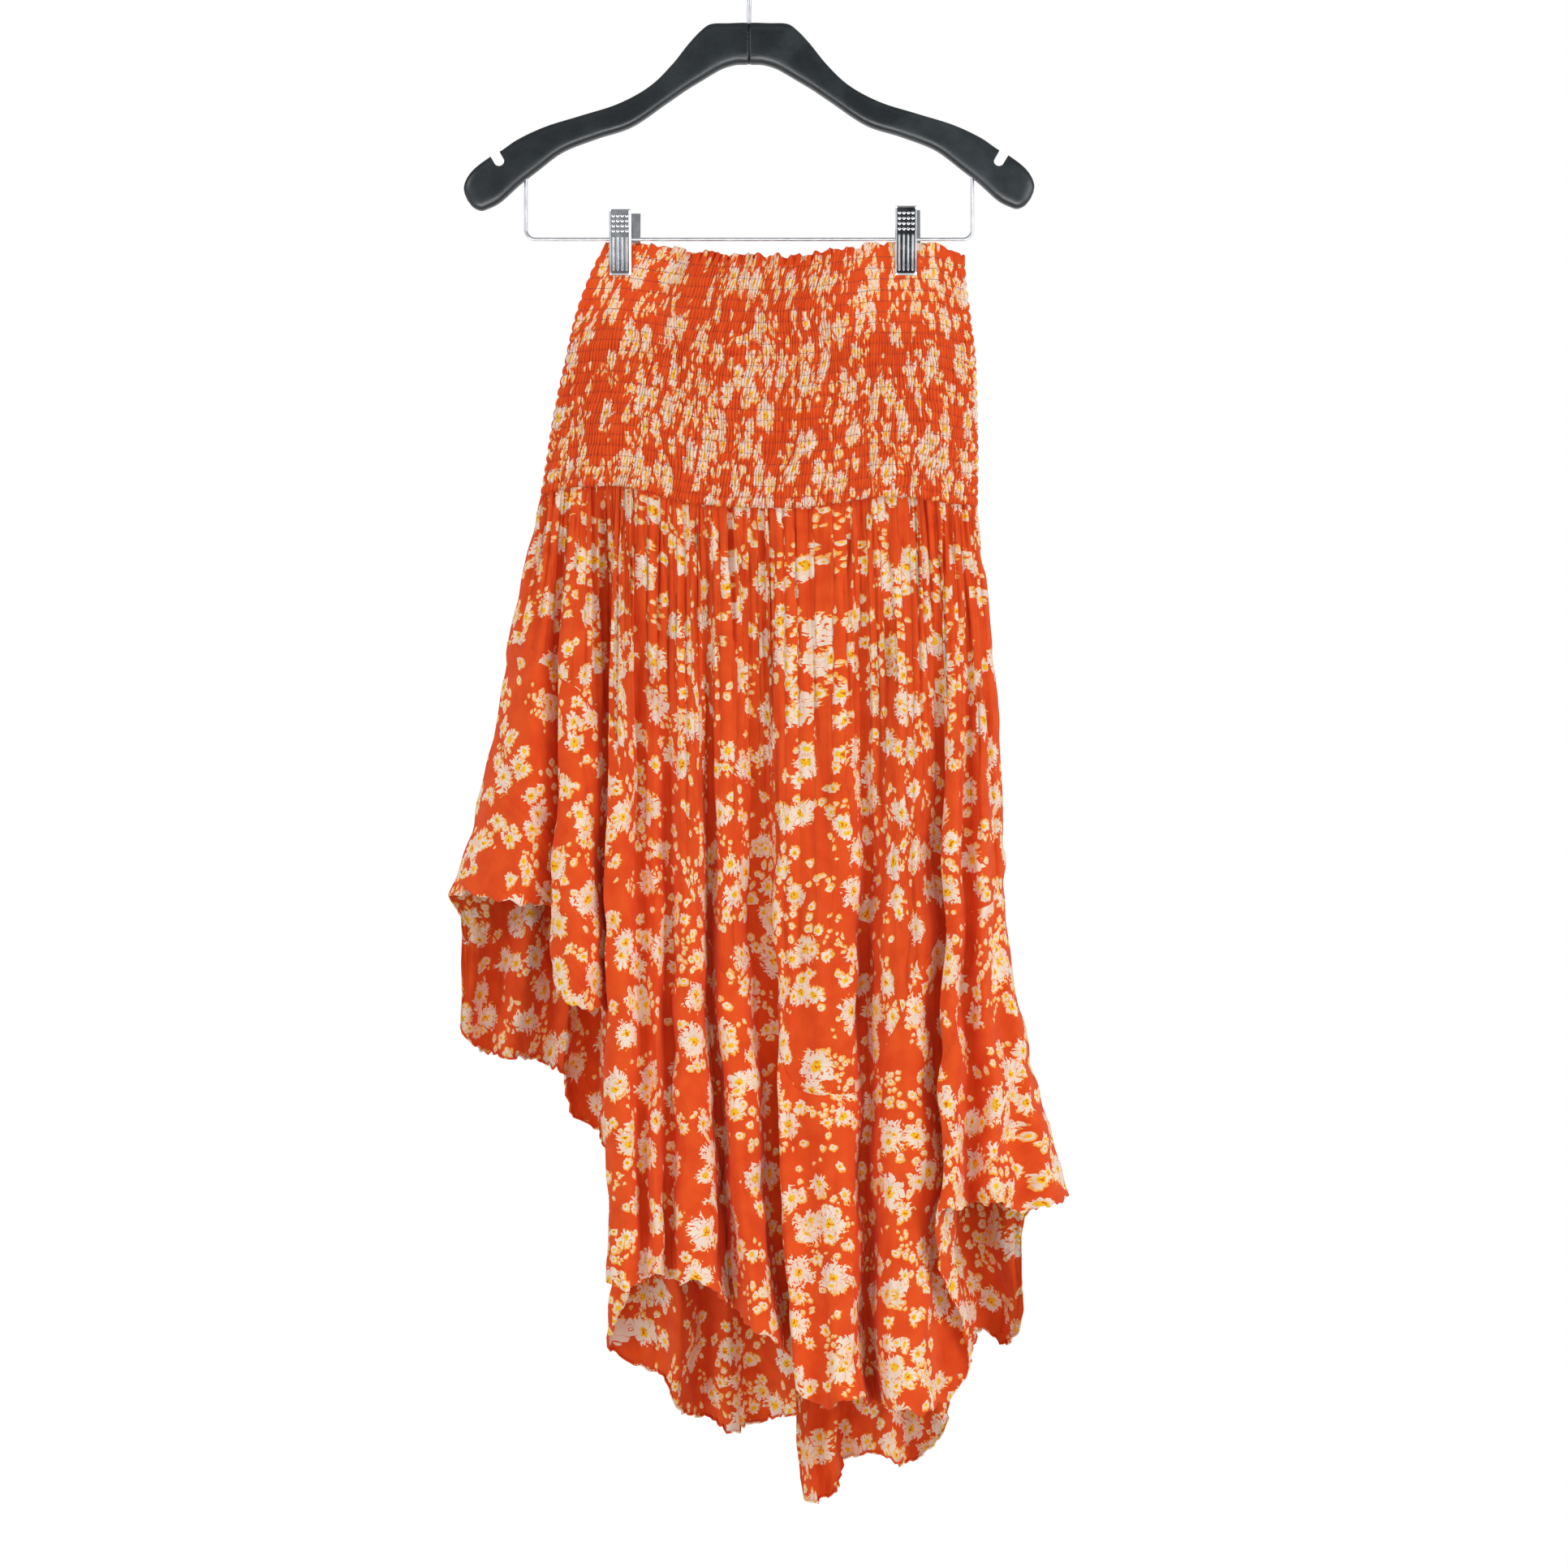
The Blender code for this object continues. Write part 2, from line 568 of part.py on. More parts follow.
def make_lower_cloth(skirt_name, flounce_name, folds, side, collection):
    grid = folded_grid(folds)
    inner = inner_points(grid, SKIRT_WALL)
    seam = len(SKIRT_LEVELS) - 1
    half_gap = seam_drop(grid[seam])
    skirt_outer = grid[:seam + 1].copy()
    skirt_inner = inner[:seam + 1].copy()
    flounce_outer = grid[seam:].copy()
    flounce_inner = inner[seam:].copy()
    for walls in (skirt_outer, skirt_inner):
        walls[0, :, 2] -= SKIRT_TOP_DROP
        walls[-1, :, 2] += half_gap
    for walls in (flounce_outer, flounce_inner):
        walls[0, :, 2] -= half_gap
    skirt = wall_mesh(skirt_name, skirt_outer, skirt_inner, side)
    flounce = wall_mesh(flounce_name, flounce_outer, flounce_inner, side)
    add_object(skirt_name, skirt, collection, "skirt")
    add_object(flounce_name, flounce, collection, "flounce")


def arm_ring(section, side):
    upper = np.array(section["upper"])
    lower = np.array(section["lower"])
    middle = 0.5 * (upper + lower)
    reach = 0.5 * (upper - lower)
    angles = 2.0 * math.pi * np.arange(HANGER_RING_POINTS) / HANGER_RING_POINTS
    power = 2.0 / HANGER_ROUNDNESS
    up = np.sign(np.cos(angles)) * np.abs(np.cos(angles)) ** power
    out = np.sign(np.sin(angles)) * np.abs(np.sin(angles)) ** power
    x = side * (middle[0] + reach[0] * up)
    y = HANGER_HALF_THICKNESS * section["thick"] * out
    z = middle[1] + reach[1] * up
    return np.stack((x, y, z), axis=-1) * MM


def arm_mesh(name, side):
    # A loft through the arm's sections, closed at both ends.
    rings = [arm_ring(section, side) for section in ARM_SECTIONS]
    shape = bmesh.new()
    loops = [[shape.verts.new(point) for point in ring] for ring in rings]
    for near, far in zip(loops[:-1], loops[1:]):
        for index in range(HANGER_RING_POINTS):
            after = (index + 1) % HANGER_RING_POINTS
            shape.faces.new((near[index], near[after], far[after], far[index]))
    shape.faces.new(loops[0])
    shape.faces.new(loops[-1])
    bmesh.ops.recalc_face_normals(shape, faces=shape.faces)
    mesh = bpy.data.meshes.new(name)
    shape.to_mesh(mesh)
    shape.free()
    mesh.shade_smooth()
    mesh.set_sharp_from_angle(angle=HANGER_SHARP_ANGLE)
    return mesh


def hole_cutter(name, wire_radius, length, x, z, cutters):
    # An upright cylinder that leaves room round a wire.
    radius = (wire_radius + HOLE_CLEARANCE) * MM
    place = Matrix.Translation(Vector((x, 0.0, z)) * MM)
    shape = bmesh.new()
    bmesh.ops.create_cone(
        shape, cap_ends=True, segments=HOLE_SIDES, radius1=radius, radius2=radius,
        depth=length * MM, matrix=place
    )
    mesh = bpy.data.meshes.new(name)
    shape.to_mesh(mesh)
    shape.free()
    return as_cutter(add_object(name, mesh, cutters, "wire"), cutters)


def slot_cutter(name, side, cutters):
    # The notch: a slot with a round bottom, open at the top.
    half = 0.5 * NOTCH_WIDTH
    outline = [(half, NOTCH_LENGTH), (-half, NOTCH_LENGTH)]
    for step in range(ROUND_STEPS + 1):
        angle = math.pi + math.pi * step / ROUND_STEPS
        outline.append((half * math.cos(angle), half * math.sin(angle)))
    cos, sin = math.cos(NOTCH_TILT), math.sin(NOTCH_TILT)
    shape = bmesh.new()
    loops = []
    for y in (-2.0 * HANGER_HALF_THICKNESS, 2.0 * HANGER_HALF_THICKNESS):
        loop = []
        for across, up in outline:
            x = side * (NOTCH_BOTTOM[0] + across * cos + up * sin)
            z = NOTCH_BOTTOM[1] - across * sin + up * cos
            loop.append(shape.verts.new((x * MM, y * MM, z * MM)))
        loops.append(loop)
    shape.faces.new(loops[0])
    shape.faces.new(loops[1])
    for index in range(len(outline)):
        after = (index + 1) % len(outline)
        shape.faces.new((loops[0][index], loops[0][after], loops[1][after], loops[1][index]))
    bmesh.ops.recalc_face_normals(shape, faces=shape.faces)
    mesh = bpy.data.meshes.new(name)
    shape.to_mesh(mesh)
    shape.free()
    return as_cutter(add_object(name, mesh, cutters, "wire"), cutters)


def make_arm(name, side, collection, cutters):
    arm = add_object(name, arm_mesh(name, side), collection, "hanger")
    cut_with(arm, slot_cutter(name + "_notch_cutter", side, cutters))
    hook_z = HOOK_STEM_BOTTOM - PIECE_GAP + 0.5 * HOOK_HOLE_LENGTH
    hook_hole = hole_cutter(name + "_hook_cutter", HOOK_WIRE_RADIUS, HOOK_HOLE_LENGTH, 0.0, hook_z, cutters)
    cut_with(arm, hook_hole)
    bar_x = side * BAR_HALF_WIDTH
    bar_z = BAR_TOP + PIECE_GAP - 0.5 * BAR_HOLE_LENGTH
    bar_hole = hole_cutter(name + "_bar_cutter", BAR_WIRE_RADIUS, BAR_HOLE_LENGTH, bar_x, bar_z, cutters)
    cut_with(arm, bar_hole)


def make_wire(name, points, radius, collection, kind):
    # Round wire along a list of (x, z) points.
    curve = bpy.data.curves.new(name, "CURVE")
    curve.dimensions = "3D"
    curve.bevel_depth = radius * MM
    curve.bevel_resolution = 2
    curve.use_fill_caps = True
    spline = curve.splines.new("POLY")
    spline.points.add(len(points) - 1)
    for point, (x, z) in zip(spline.points, points):
        point.co = (x * MM, 0.0, z * MM, 1.0)
    return add_object(name, curve, collection, kind)


def make_hook(collection):
    radius = HOOK_INNER_RADIUS + HOOK_WIRE_RADIUS
    centre_z = HOOK_WIRE_RADIUS - radius
    points = list(HOOK_LEAD_IN)
    for step in range(HOOK_ARC_STEPS + 1):
        angle = math.radians(HOOK_ARC_START + (HOOK_ARC_END - HOOK_ARC_START) * step / HOOK_ARC_STEPS)
        points.append((radius * math.cos(angle), centre_z + radius * math.sin(angle)))
    points += HOOK_TIP
    make_wire("hook", points, HOOK_WIRE_RADIUS, collection, "wire")


def make_bar(collection):
    inner = BAR_HALF_WIDTH - BAR_CORNER_RADIUS
    right = [(BAR_HALF_WIDTH, BAR_TOP), (BAR_HALF_WIDTH, BAR_HEIGHT + BAR_CORNER_RADIUS)]
    for step in range(1, ROUND_STEPS + 1):
        angle = -0.5 * math.pi * step / ROUND_STEPS
        x = inner + BAR_CORNER_RADIUS * math.cos(angle)
        z = BAR_HEIGHT + BAR_CORNER_RADIUS + BAR_CORNER_RADIUS * math.sin(angle)
        right.append((x, z))
    left = [(-x, z) for x, z in reversed(right)]
    make_wire("bar", right + left, BAR_WIRE_RADIUS, collection, "wire")


def jaw_depth(height):
    heights = [row["height"] for row in JAW_PROFILE]
    depths = [row["depth"] for row in JAW_PROFILE]
    return float(np.interp(height, heights, depths))


def add_prism(shape, corners, x_low, x_high):
    # A prism across X whose outline is a list of (depth, z) corners.
    loops = []
    for x in (x_low, x_high):
        loops.append([shape.verts.new((x, depth, z)) for depth, z in corners])
    shape.faces.new(loops[0])
    shape.faces.new(loops[1])
    for index in range(len(corners)):
        after = (index + 1) % len(corners)
        shape.faces.new((loops[0][index], loops[0][after], loops[1][after], loops[1][index]))


def finish_mesh(shape, name, side):
    # Millimetres and depths become metres and Y.
    for vert in shape.verts:
        vert.co = Vector((vert.co.x, side * vert.co.y, vert.co.z)) * MM
    bmesh.ops.recalc_face_normals(shape, faces=shape.faces)
    mesh = bpy.data.meshes.new(name)
    shape.to_mesh(mesh)
    shape.free()
    return mesh


def join_with(item, other):
    union = item.modifiers.new("join " + other.name, "BOOLEAN")
    union.operation = "UNION"
    union.solver = "EXACT"
    union.object = other


def make_jaw(name, clip, side, collection, cutters):
    # A bent plate with two ears that reach in to the bar, four ribs below and rows of dots above.
    half = 0.5 * CLIP_WIDTH
    low = clip["z"]
    inner = [(row["depth"], low + row["height"]) for row in JAW_PROFILE]
    outer = [(depth + JAW_THICKNESS, z) for depth, z in reversed(inner)]
    plate = bmesh.new()
    add_prism(plate, inner + outer, clip["x"] - half, clip["x"] + half)
    jaw = add_object(name, finish_mesh(plate, name, side), collection, "clip")
    details = bmesh.new()
    ear_end = BAR_WIRE_RADIUS + HOLE_CLEARANCE
    bar_above_end = BAR_HEIGHT - low
    for edge in (-1, 1):
        near = clip["x"] + edge * (half - EAR_INSET - EAR_THICKNESS)
        far = clip["x"] + edge * (half - EAR_INSET)
        top = jaw_depth(bar_above_end + EAR_TOP) + 0.5 * JAW_THICKNESS
        bottom = jaw_depth(bar_above_end + EAR_BOTTOM) + 0.5 * JAW_THICKNESS
        corners = [
            (ear_end, BAR_HEIGHT + EAR_BOTTOM), (bottom, BAR_HEIGHT + EAR_BOTTOM),
            (top, BAR_HEIGHT + EAR_TOP), (ear_end + EAR_SLOPE, BAR_HEIGHT + EAR_TOP),
        ]
        add_prism(details, corners, min(near, far), max(near, far))
    for index in range(RIB_COUNT):
        x = clip["x"] + (index - 0.5 * (RIB_COUNT - 1)) * RIB_PITCH
        bend = JAW_PROFILE[1]["height"]
        face = [(jaw_depth(height) + JAW_THICKNESS, low + height) for height in (RIB_START, bend, RIB_END)]
        raised = [(depth + RIB_HEIGHT, z) for depth, z in face]
        sunk = [(depth - RIB_SUNK, z) for depth, z in face]
        add_prism(details, sunk + raised[::-1], x - 0.5 * RIB_WIDTH, x + 0.5 * RIB_WIDTH)
    for row in range(DOT_COUNT):
        height = DOT_START + DOT_PITCH * row
        depth = jaw_depth(height) + JAW_THICKNESS
        for column in range(DOT_COUNT):
            x = clip["x"] + (column - 0.5 * (DOT_COUNT - 1)) * RIB_PITCH
            place = Matrix.Translation((x, depth, low + height)) @ Matrix.Rotation(math.radians(90.0), 4, "X")
            bmesh.ops.create_cone(
                details, cap_ends=True, segments=DOT_SIDES, radius1=DOT_RADIUS, radius2=DOT_RADIUS,
                depth=2.0 * DOT_HEIGHT, matrix=place
            )
    extra = add_object(name + "_details", finish_mesh(details, name + "_details", side), cutters, "clip")
    as_cutter(extra, cutters)
    join_with(jaw, extra)


def make_spring(name, clip, collection):
    # A short coil round the bar, as one turned ring with a ridge for each turn.
    bore = BAR_WIRE_RADIUS + HOLE_CLEARANCE
    half = 0.5 * SPRING_LENGTH
    profile = [(bore, half), (bore, -half)]
    for step in range(2 * SPRING_TURNS + 1):
        share = step / (2 * SPRING_TURNS)
        radius = SPRING_RADIUS if step % 2 else SPRING_RADIUS - SPRING_RIDGE
        profile.append((radius, -half + SPRING_LENGTH * share))
    shape = bmesh.new()
    loops = []
    for step in range(SPRING_SIDES):
        angle = 2.0 * math.pi * step / SPRING_SIDES
        loop = []
        for radius, along in profile:
            y = radius * math.cos(angle)
            z = BAR_HEIGHT + radius * math.sin(angle)
            loop.append(shape.verts.new((clip["x"] + along, y, z)))
        loops.append(loop)
    for index in range(SPRING_SIDES):
        near, far = loops[index], loops[(index + 1) % SPRING_SIDES]
        for row in range(len(profile)):
            after = (row + 1) % len(profile)
            shape.faces.new((near[row], near[after], far[after], far[row]))
    add_object(name, finish_mesh(shape, name, 1.0), collection, "wire")


def build():
    remove_all_objects()
    parts = make_collection("convertible_skirt")
    cutters = make_collection("cutters")
    cutters.hide_render = True
    make_yoke("yoke_front", -1.0, parts)
    make_yoke("yoke_back", 1.0, parts)
    make_lower_cloth("skirt_front", "flounce_front", FRONT_FOLDS, -1.0, parts)
    make_lower_cloth("skirt_back", "flounce_back", BACK_FOLDS, 1.0, parts)
    make_arm("hanger_arm_left", -1.0, parts, cutters)
    make_arm("hanger_arm_right", 1.0, parts, cutters)
    make_hook(parts)
    make_bar(parts)
    for clip_name, clip in CLIPS.items():
        make_jaw("clip_" + clip_name + "_front", clip, -1.0, parts, cutters)
        make_jaw("clip_" + clip_name + "_back", clip, 1.0, parts, cutters)
        make_spring("clip_" + clip_name + "_spring", clip, parts)


build()
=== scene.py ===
# Looks of the convertible skirt that hangs by two clips from a wrapped hanger.
import math

import bpy
import numpy as np
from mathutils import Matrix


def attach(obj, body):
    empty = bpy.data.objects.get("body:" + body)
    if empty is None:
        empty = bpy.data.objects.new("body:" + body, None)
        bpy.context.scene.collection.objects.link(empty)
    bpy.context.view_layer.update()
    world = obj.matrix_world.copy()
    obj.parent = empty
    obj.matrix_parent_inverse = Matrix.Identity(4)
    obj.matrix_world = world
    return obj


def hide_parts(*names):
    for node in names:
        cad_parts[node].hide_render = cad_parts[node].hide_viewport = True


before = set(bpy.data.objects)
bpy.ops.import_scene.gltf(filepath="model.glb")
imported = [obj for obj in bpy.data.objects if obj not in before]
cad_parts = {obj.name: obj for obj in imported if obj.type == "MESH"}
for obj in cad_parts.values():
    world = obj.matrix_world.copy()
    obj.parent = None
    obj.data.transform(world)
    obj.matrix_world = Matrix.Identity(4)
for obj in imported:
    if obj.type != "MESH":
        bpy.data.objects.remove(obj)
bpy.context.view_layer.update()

mm = 0.001  # tables and sizes are in millimetres, meshes in metres

# Camera, floor and light

stage = {
    "lens": 77.64, "sensor": 36.0, "cameraPlace": (25.8, -2500.0, -647.2), "aim": (0.0, 0.0, -620.0),
    "floorHeight": -1450.0, "floorRadius": 850.0, "floorCorners": 96,
}
# Place, size and power of each area light
lights = {
    "key": ((-1900.0, -1500.0, 500.0), 900.0, 12.0),
    "fill": ((1900.0, -1500.0, -200.0), 1200.0, 18.5),
    "low": ((-400.0, -1900.0, -1300.0), 500.0, 0.6),
}


def addObject(name, data):
    item = bpy.data.objects.new(name, data)
    bpy.context.scene.collection.objects.link(item)
    return item


def aimAt(item, place, target):
    # Moves an object to a place and turns its -Z axis towards a target.
    item.location = np.array(place) * mm
    way = np.array(target) - np.array(place)
    level = math.hypot(way[0], way[1])
    item.rotation_euler = (math.atan2(level, -way[2]), 0.0, math.atan2(-way[0], way[1]))


def makeCamera():
    data = bpy.data.cameras.new("camera")
    data.lens = stage["lens"]
    data.sensor_width = stage["sensor"]
    camera = addObject("camera", data)
    x, y, z = stage["cameraPlace"]
    aimAt(camera, (x, y, z), (x, 0.0, z))
    bpy.context.scene.camera = camera


def makeLight(name, place, size, power):
    data = bpy.data.lights.new(name, "AREA")
    data.size = size * mm
    data.energy = power
    aimAt(addObject(name, data), place, stage["aim"])


makeCamera()
print("camera ready")

# Small tools for curves, noise and meshes


def ease(value):
    # 0 at or below zero, 1 at or above one, smooth between.
    t = np.clip(value, 0.0, 1.0)
    return t * t * (3.0 - 2.0 * t)


def patches(u, v, seed):
    # Soft noise from 0 to 1: random heights on a unit lattice, joined by smooth steps.
    heights = np.random.default_rng(seed).random((61, 67))
    iu = np.floor(u).astype(int)
    iv = np.floor(v).astype(int)
    fu = ease(u - iu)
    fv = ease(v - iv)
    low = heights[iu % 61, iv % 67] * (1.0 - fu) + heights[(iu + 1) % 61, iv % 67] * fu
    high = heights[iu % 61, (iv + 1) % 67] * (1.0 - fu) + heights[(iu + 1) % 61, (iv + 1) % 67] * fu
    return low * (1.0 - fv) + high * fv


def wobble(u, v, seed):
    # The same noise about zero, from -0.5 to 0.5.
    return patches(u, v, seed) - 0.5


def cubicThrough(values, knots, cell, part, steady=False):
    # A cubic piece in each cell of each row. Slopes are those of the parabola through the
    # neighbours, or, if steady, harmonic means, so that the curve never runs past its values.
    steps = np.diff(knots, axis=1)
    slopes = np.diff(values, axis=1) / steps
    before, after = slopes[:, :-1], slopes[:, 1:]
    if steady:
        first = 2.0 * steps[:, 1:] + steps[:, :-1]
        second = steps[:, 1:] + 2.0 * steps[:, :-1]
        same = before * after > 0.0
        mean = first / np.where(same, before, 1.0) + second / np.where(same, after, 1.0)
        inner = np.where(same, (first + second) / mean, 0.0)
    else:
        inner = before + (after - before) * steps[:, :-1] / (steps[:, :-1] + steps[:, 1:])
    tangents = np.concatenate((slopes[:, :1], inner, slopes[:, -1:]), axis=1)
    t = part[None, :]
    rise = (2 * t ** 3 - 3 * t ** 2 + 1) * values[:, cell] + (3 * t ** 2 - 2 * t ** 3) * values[:, cell + 1]
    lean = (t ** 3 - 2 * t ** 2 + t) * tangents[:, cell] + (t ** 3 - t ** 2) * tangents[:, cell + 1]
    return rise + lean * steps[:, cell]


def lineAt(table, at):
    # A steady curve through a table of pairs, read at an array of places.
    knots, values = np.array(table, float).T
    flat = np.clip(np.ravel(at), knots[0], knots[-1])
    cell = np.clip(np.searchsorted(knots, flat, side="right") - 1, 0, len(knots) - 2)
    part = (flat - knots[cell]) / (knots[cell + 1] - knots[cell])
    return cubicThrough(values[None, :], knots[None, :], cell, part, steady=True)[0].reshape(np.shape(at))


def gridFaces(rows, columns, start=0, wrap=False):
    # Corner numbers of the four-sided faces of a grid; wrap joins the last column to the first.
    ids = np.arange(rows * columns).reshape(rows, columns) + start
    if wrap:
        ids = np.concatenate((ids, ids[:, :1]), axis=1)
    corners = (ids[:-1, :-1], ids[1:, :-1], ids[1:, 1:], ids[:-1, 1:])
    return np.stack(corners, axis=-1).reshape(-1, 4)


def makePiece(name, points, faces, material, uv=None, sharp=None, shade=None):
    # A smooth-shaded object from points in millimetres, riding on the one body.
    mesh = bpy.data.meshes.new(name)
    mesh.from_pydata((points.reshape(-1, 3) * mm).tolist(), [], [list(map(int, face)) for face in faces])
    if uv is not None:
        corners = np.zeros(len(mesh.loops), int)
        mesh.loops.foreach_get("vertex_index", corners)
        layer = mesh.uv_layers.new(name="flatCloth")
        layer.data.foreach_set("uv", (uv.reshape(-1, 2) * mm)[corners].ravel())
    # The shade values are painted shade: how much the print is darkened at each point in folds, grooves and
    # seams.
    if shade is not None:
        layer = mesh.attributes.new("paintedFoldShade", "FLOAT", "POINT")
        layer.data.foreach_set("value", np.clip(shade, 0.0, 1.0).ravel())
    mesh.shade_smooth()
    if sharp is not None:
        mesh.set_sharp_from_angle(angle=math.radians(sharp))
    mesh.materials.append(material)
    piece = addObject(name, mesh)
    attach(piece, "root")
    return piece


def tubes(paths, radius, sides, outward):
    # Round tubes along several paths at once: each ring stands square to its path, its first
    # point on the side that outward gives. The rings of a path are numbered one after another.
    along = np.gradient(paths, axis=1)
    along /= np.linalg.norm(along, axis=-1, keepdims=True)
    out = outward - np.sum(outward * along, axis=-1, keepdims=True) * along
    out /= np.linalg.norm(out, axis=-1, keepdims=True)
    across = np.cross(along, out)
    turn = 2.0 * math.pi * np.arange(sides) / sides
    radius = np.broadcast_to(radius, paths.shape[:2])[..., None, None]
    ring = np.cos(turn)[:, None] * out[:, :, None, :] + np.sin(turn)[:, None] * across[:, :, None, :]
    return paths[:, :, None, :] + radius * ring


def tubeFaces(count, rings, sides):
    # Faces of several tubes or prisms, each with a flat end at both sides.
    faces = []
    for start in range(0, count * rings * sides, rings * sides):
        last = start + (rings - 1) * sides
        faces += gridFaces(rings, sides, start, wrap=True).tolist()
        faces.append(list(range(start, start + sides)))
        faces.append(list(range(last + sides - 1, last - 1, -1)))
    return faces


def turnedFaces(faces):
    # The same faces, wound the other way round.
    return [face[::-1] for face in faces]


# Materials


def nodeTools(owner):
    # Tools for the nodes of a material or a world. put adds any node, calc a maths node, mix a
    # colour mix, ramp a change of range and noise a soft noise; all take sockets, nodes or numbers.
    owner.use_nodes = True
    tree = owner.node_tree

    def join(value, socket):
        if isinstance(value, bpy.types.Node):
            value = value.outputs[0]
        if isinstance(value, bpy.types.NodeSocket):
            tree.links.new(value, socket)
        else:
            socket.default_value = value

    def put(kind, inputs, **settings):
        node = tree.nodes.new("ShaderNode" + kind)
        for name, value in settings.items():
            setattr(node, name, value)
        for key, value in inputs.items():
            join(value, node.inputs[key])
        return node

    def calc(operation, *values):
        return put("Math", dict(enumerate(values)), operation=operation)

    def mix(share, first, second, blend="MIX"):
        inputs = {0: share, 6: first, 7: second}
        return put("Mix", inputs, data_type="RGBA", blend_type=blend).outputs[2]

    def ramp(value, low, high, first=0.0, last=1.0, kind="LINEAR"):
        return put("MapRange", {0: value, 1: low, 2: high, 3: first, 4: last}, interpolation_type=kind)

    def noise(place, scale, detail, dimensions="3D", roughness=0.5):
        inputs = {"Vector": place, "Scale": scale, "Detail": detail, "Roughness": roughness}
        return put("TexNoise", inputs, noise_dimensions=dimensions)

    shader = next(node for node in tree.nodes if node.type in ("BSDF_PRINCIPLED", "BACKGROUND"))
    return put, calc, mix, ramp, noise, join, shader


def shade(red, green, blue):
    # A colour from the 0 to 255 values that a screen shows.
    screen = np.array((red, green, blue)) / 255.0
    linear = np.where(screen <= 0.04045, screen / 12.92, ((screen + 0.055) / 1.055) ** 2.4)
    return (*linear.tolist(), 1.0)


printColours = {
    # The first is the tint of the painted shade that darkens the print in folds, grooves and seams
    "paintedShadeTint": (0.62, 0.36, 0.34, 1.0),
    "ground": shade(235, 86, 32), "groundDeep": shade(226, 75, 27),
    "petal": shade(249, 228, 209), "petalShade": shade(240, 214, 195),
    "edging": shade(252, 180, 78), "heart": shade(250, 196, 36), "heartMark": shade(228, 98, 18),
}

# The printed daisies on the flat cloth: cell is the pitch of their places and patch the size of the
# areas with more or fewer of them. present is about the share of places that hold one, and cluster
# how much it varies. petals gives the fewest and how many more.
daisyLayers = (
    {"cell": 4.6, "scatter": 0.85, "radius": (1.0, 1.8), "petals": (4, 3), "present": -0.38, "cluster": 1.7,
     "heart": 0.42, "notch": 0.2, "shortest": 0.8, "spikes": 0.2, "shift": (3.1, 8.2), "patch": 26.0},
    {"cell": 8.8, "scatter": 0.85, "radius": (2.4, 3.3), "petals": (5, 3), "present": 0.2, "cluster": 0.55,
     "heart": 0.4, "notch": 0.2, "shortest": 0.85, "spikes": 0.2, "shift": (1.7, 5.9), "patch": 46.0},
    {"cell": 35.0, "scatter": 0.72, "radius": (12.5, 16.5), "petals": (8, 4), "present": 0.68,
     "cluster": 0.22, "heart": 0.24, "notch": 0.72, "shortest": 0.58, "spikes": 0.36, "shift": (0.0, 0.0),
     "patch": 90.0},
    {"cell": 24.0, "scatter": 0.75, "radius": (8.0, 11.0), "petals": (7, 4), "present": 0.38,
     "cluster": 0.28, "heart": 0.3, "notch": 0.68, "shortest": 0.58, "spikes": 0.36, "shift": (17.3, 9.1),
     "patch": 70.0},
    {"cell": 15.0, "scatter": 0.8, "radius": (4.6, 6.6), "petals": (6, 4), "present": 0.3, "cluster": 0.35,
     "heart": 0.36, "notch": 0.55, "shortest": 0.62, "spikes": 0.32, "shift": (7.7, 13.3), "patch": 50.0},
)
# What all daisies share: how far noise bends and frays the petals, the rounding and the slit at their
# sides, the soft edge and the rims in two colours, both in millimetres, and the mark in the heart
daisy = {
    "bend": 1.6, "dip": 0.55, "dipPower": 1.35, "slitPower": 14.0, "slitLeast": 0.1,
    "frayTurn": 3.4, "frayJump": 397.0, "frayDetail": 1.2, "ragged": 1.7, "clustering": 3.0,
    "softEdge": 0.25, "rimFrom": 0.9, "rimShare": 0.6, "rim": 1.15, "groundRim": 0.5,
    "heartRagged": 0.5, "mark": 0.05, "markRagged": 1.1,
}


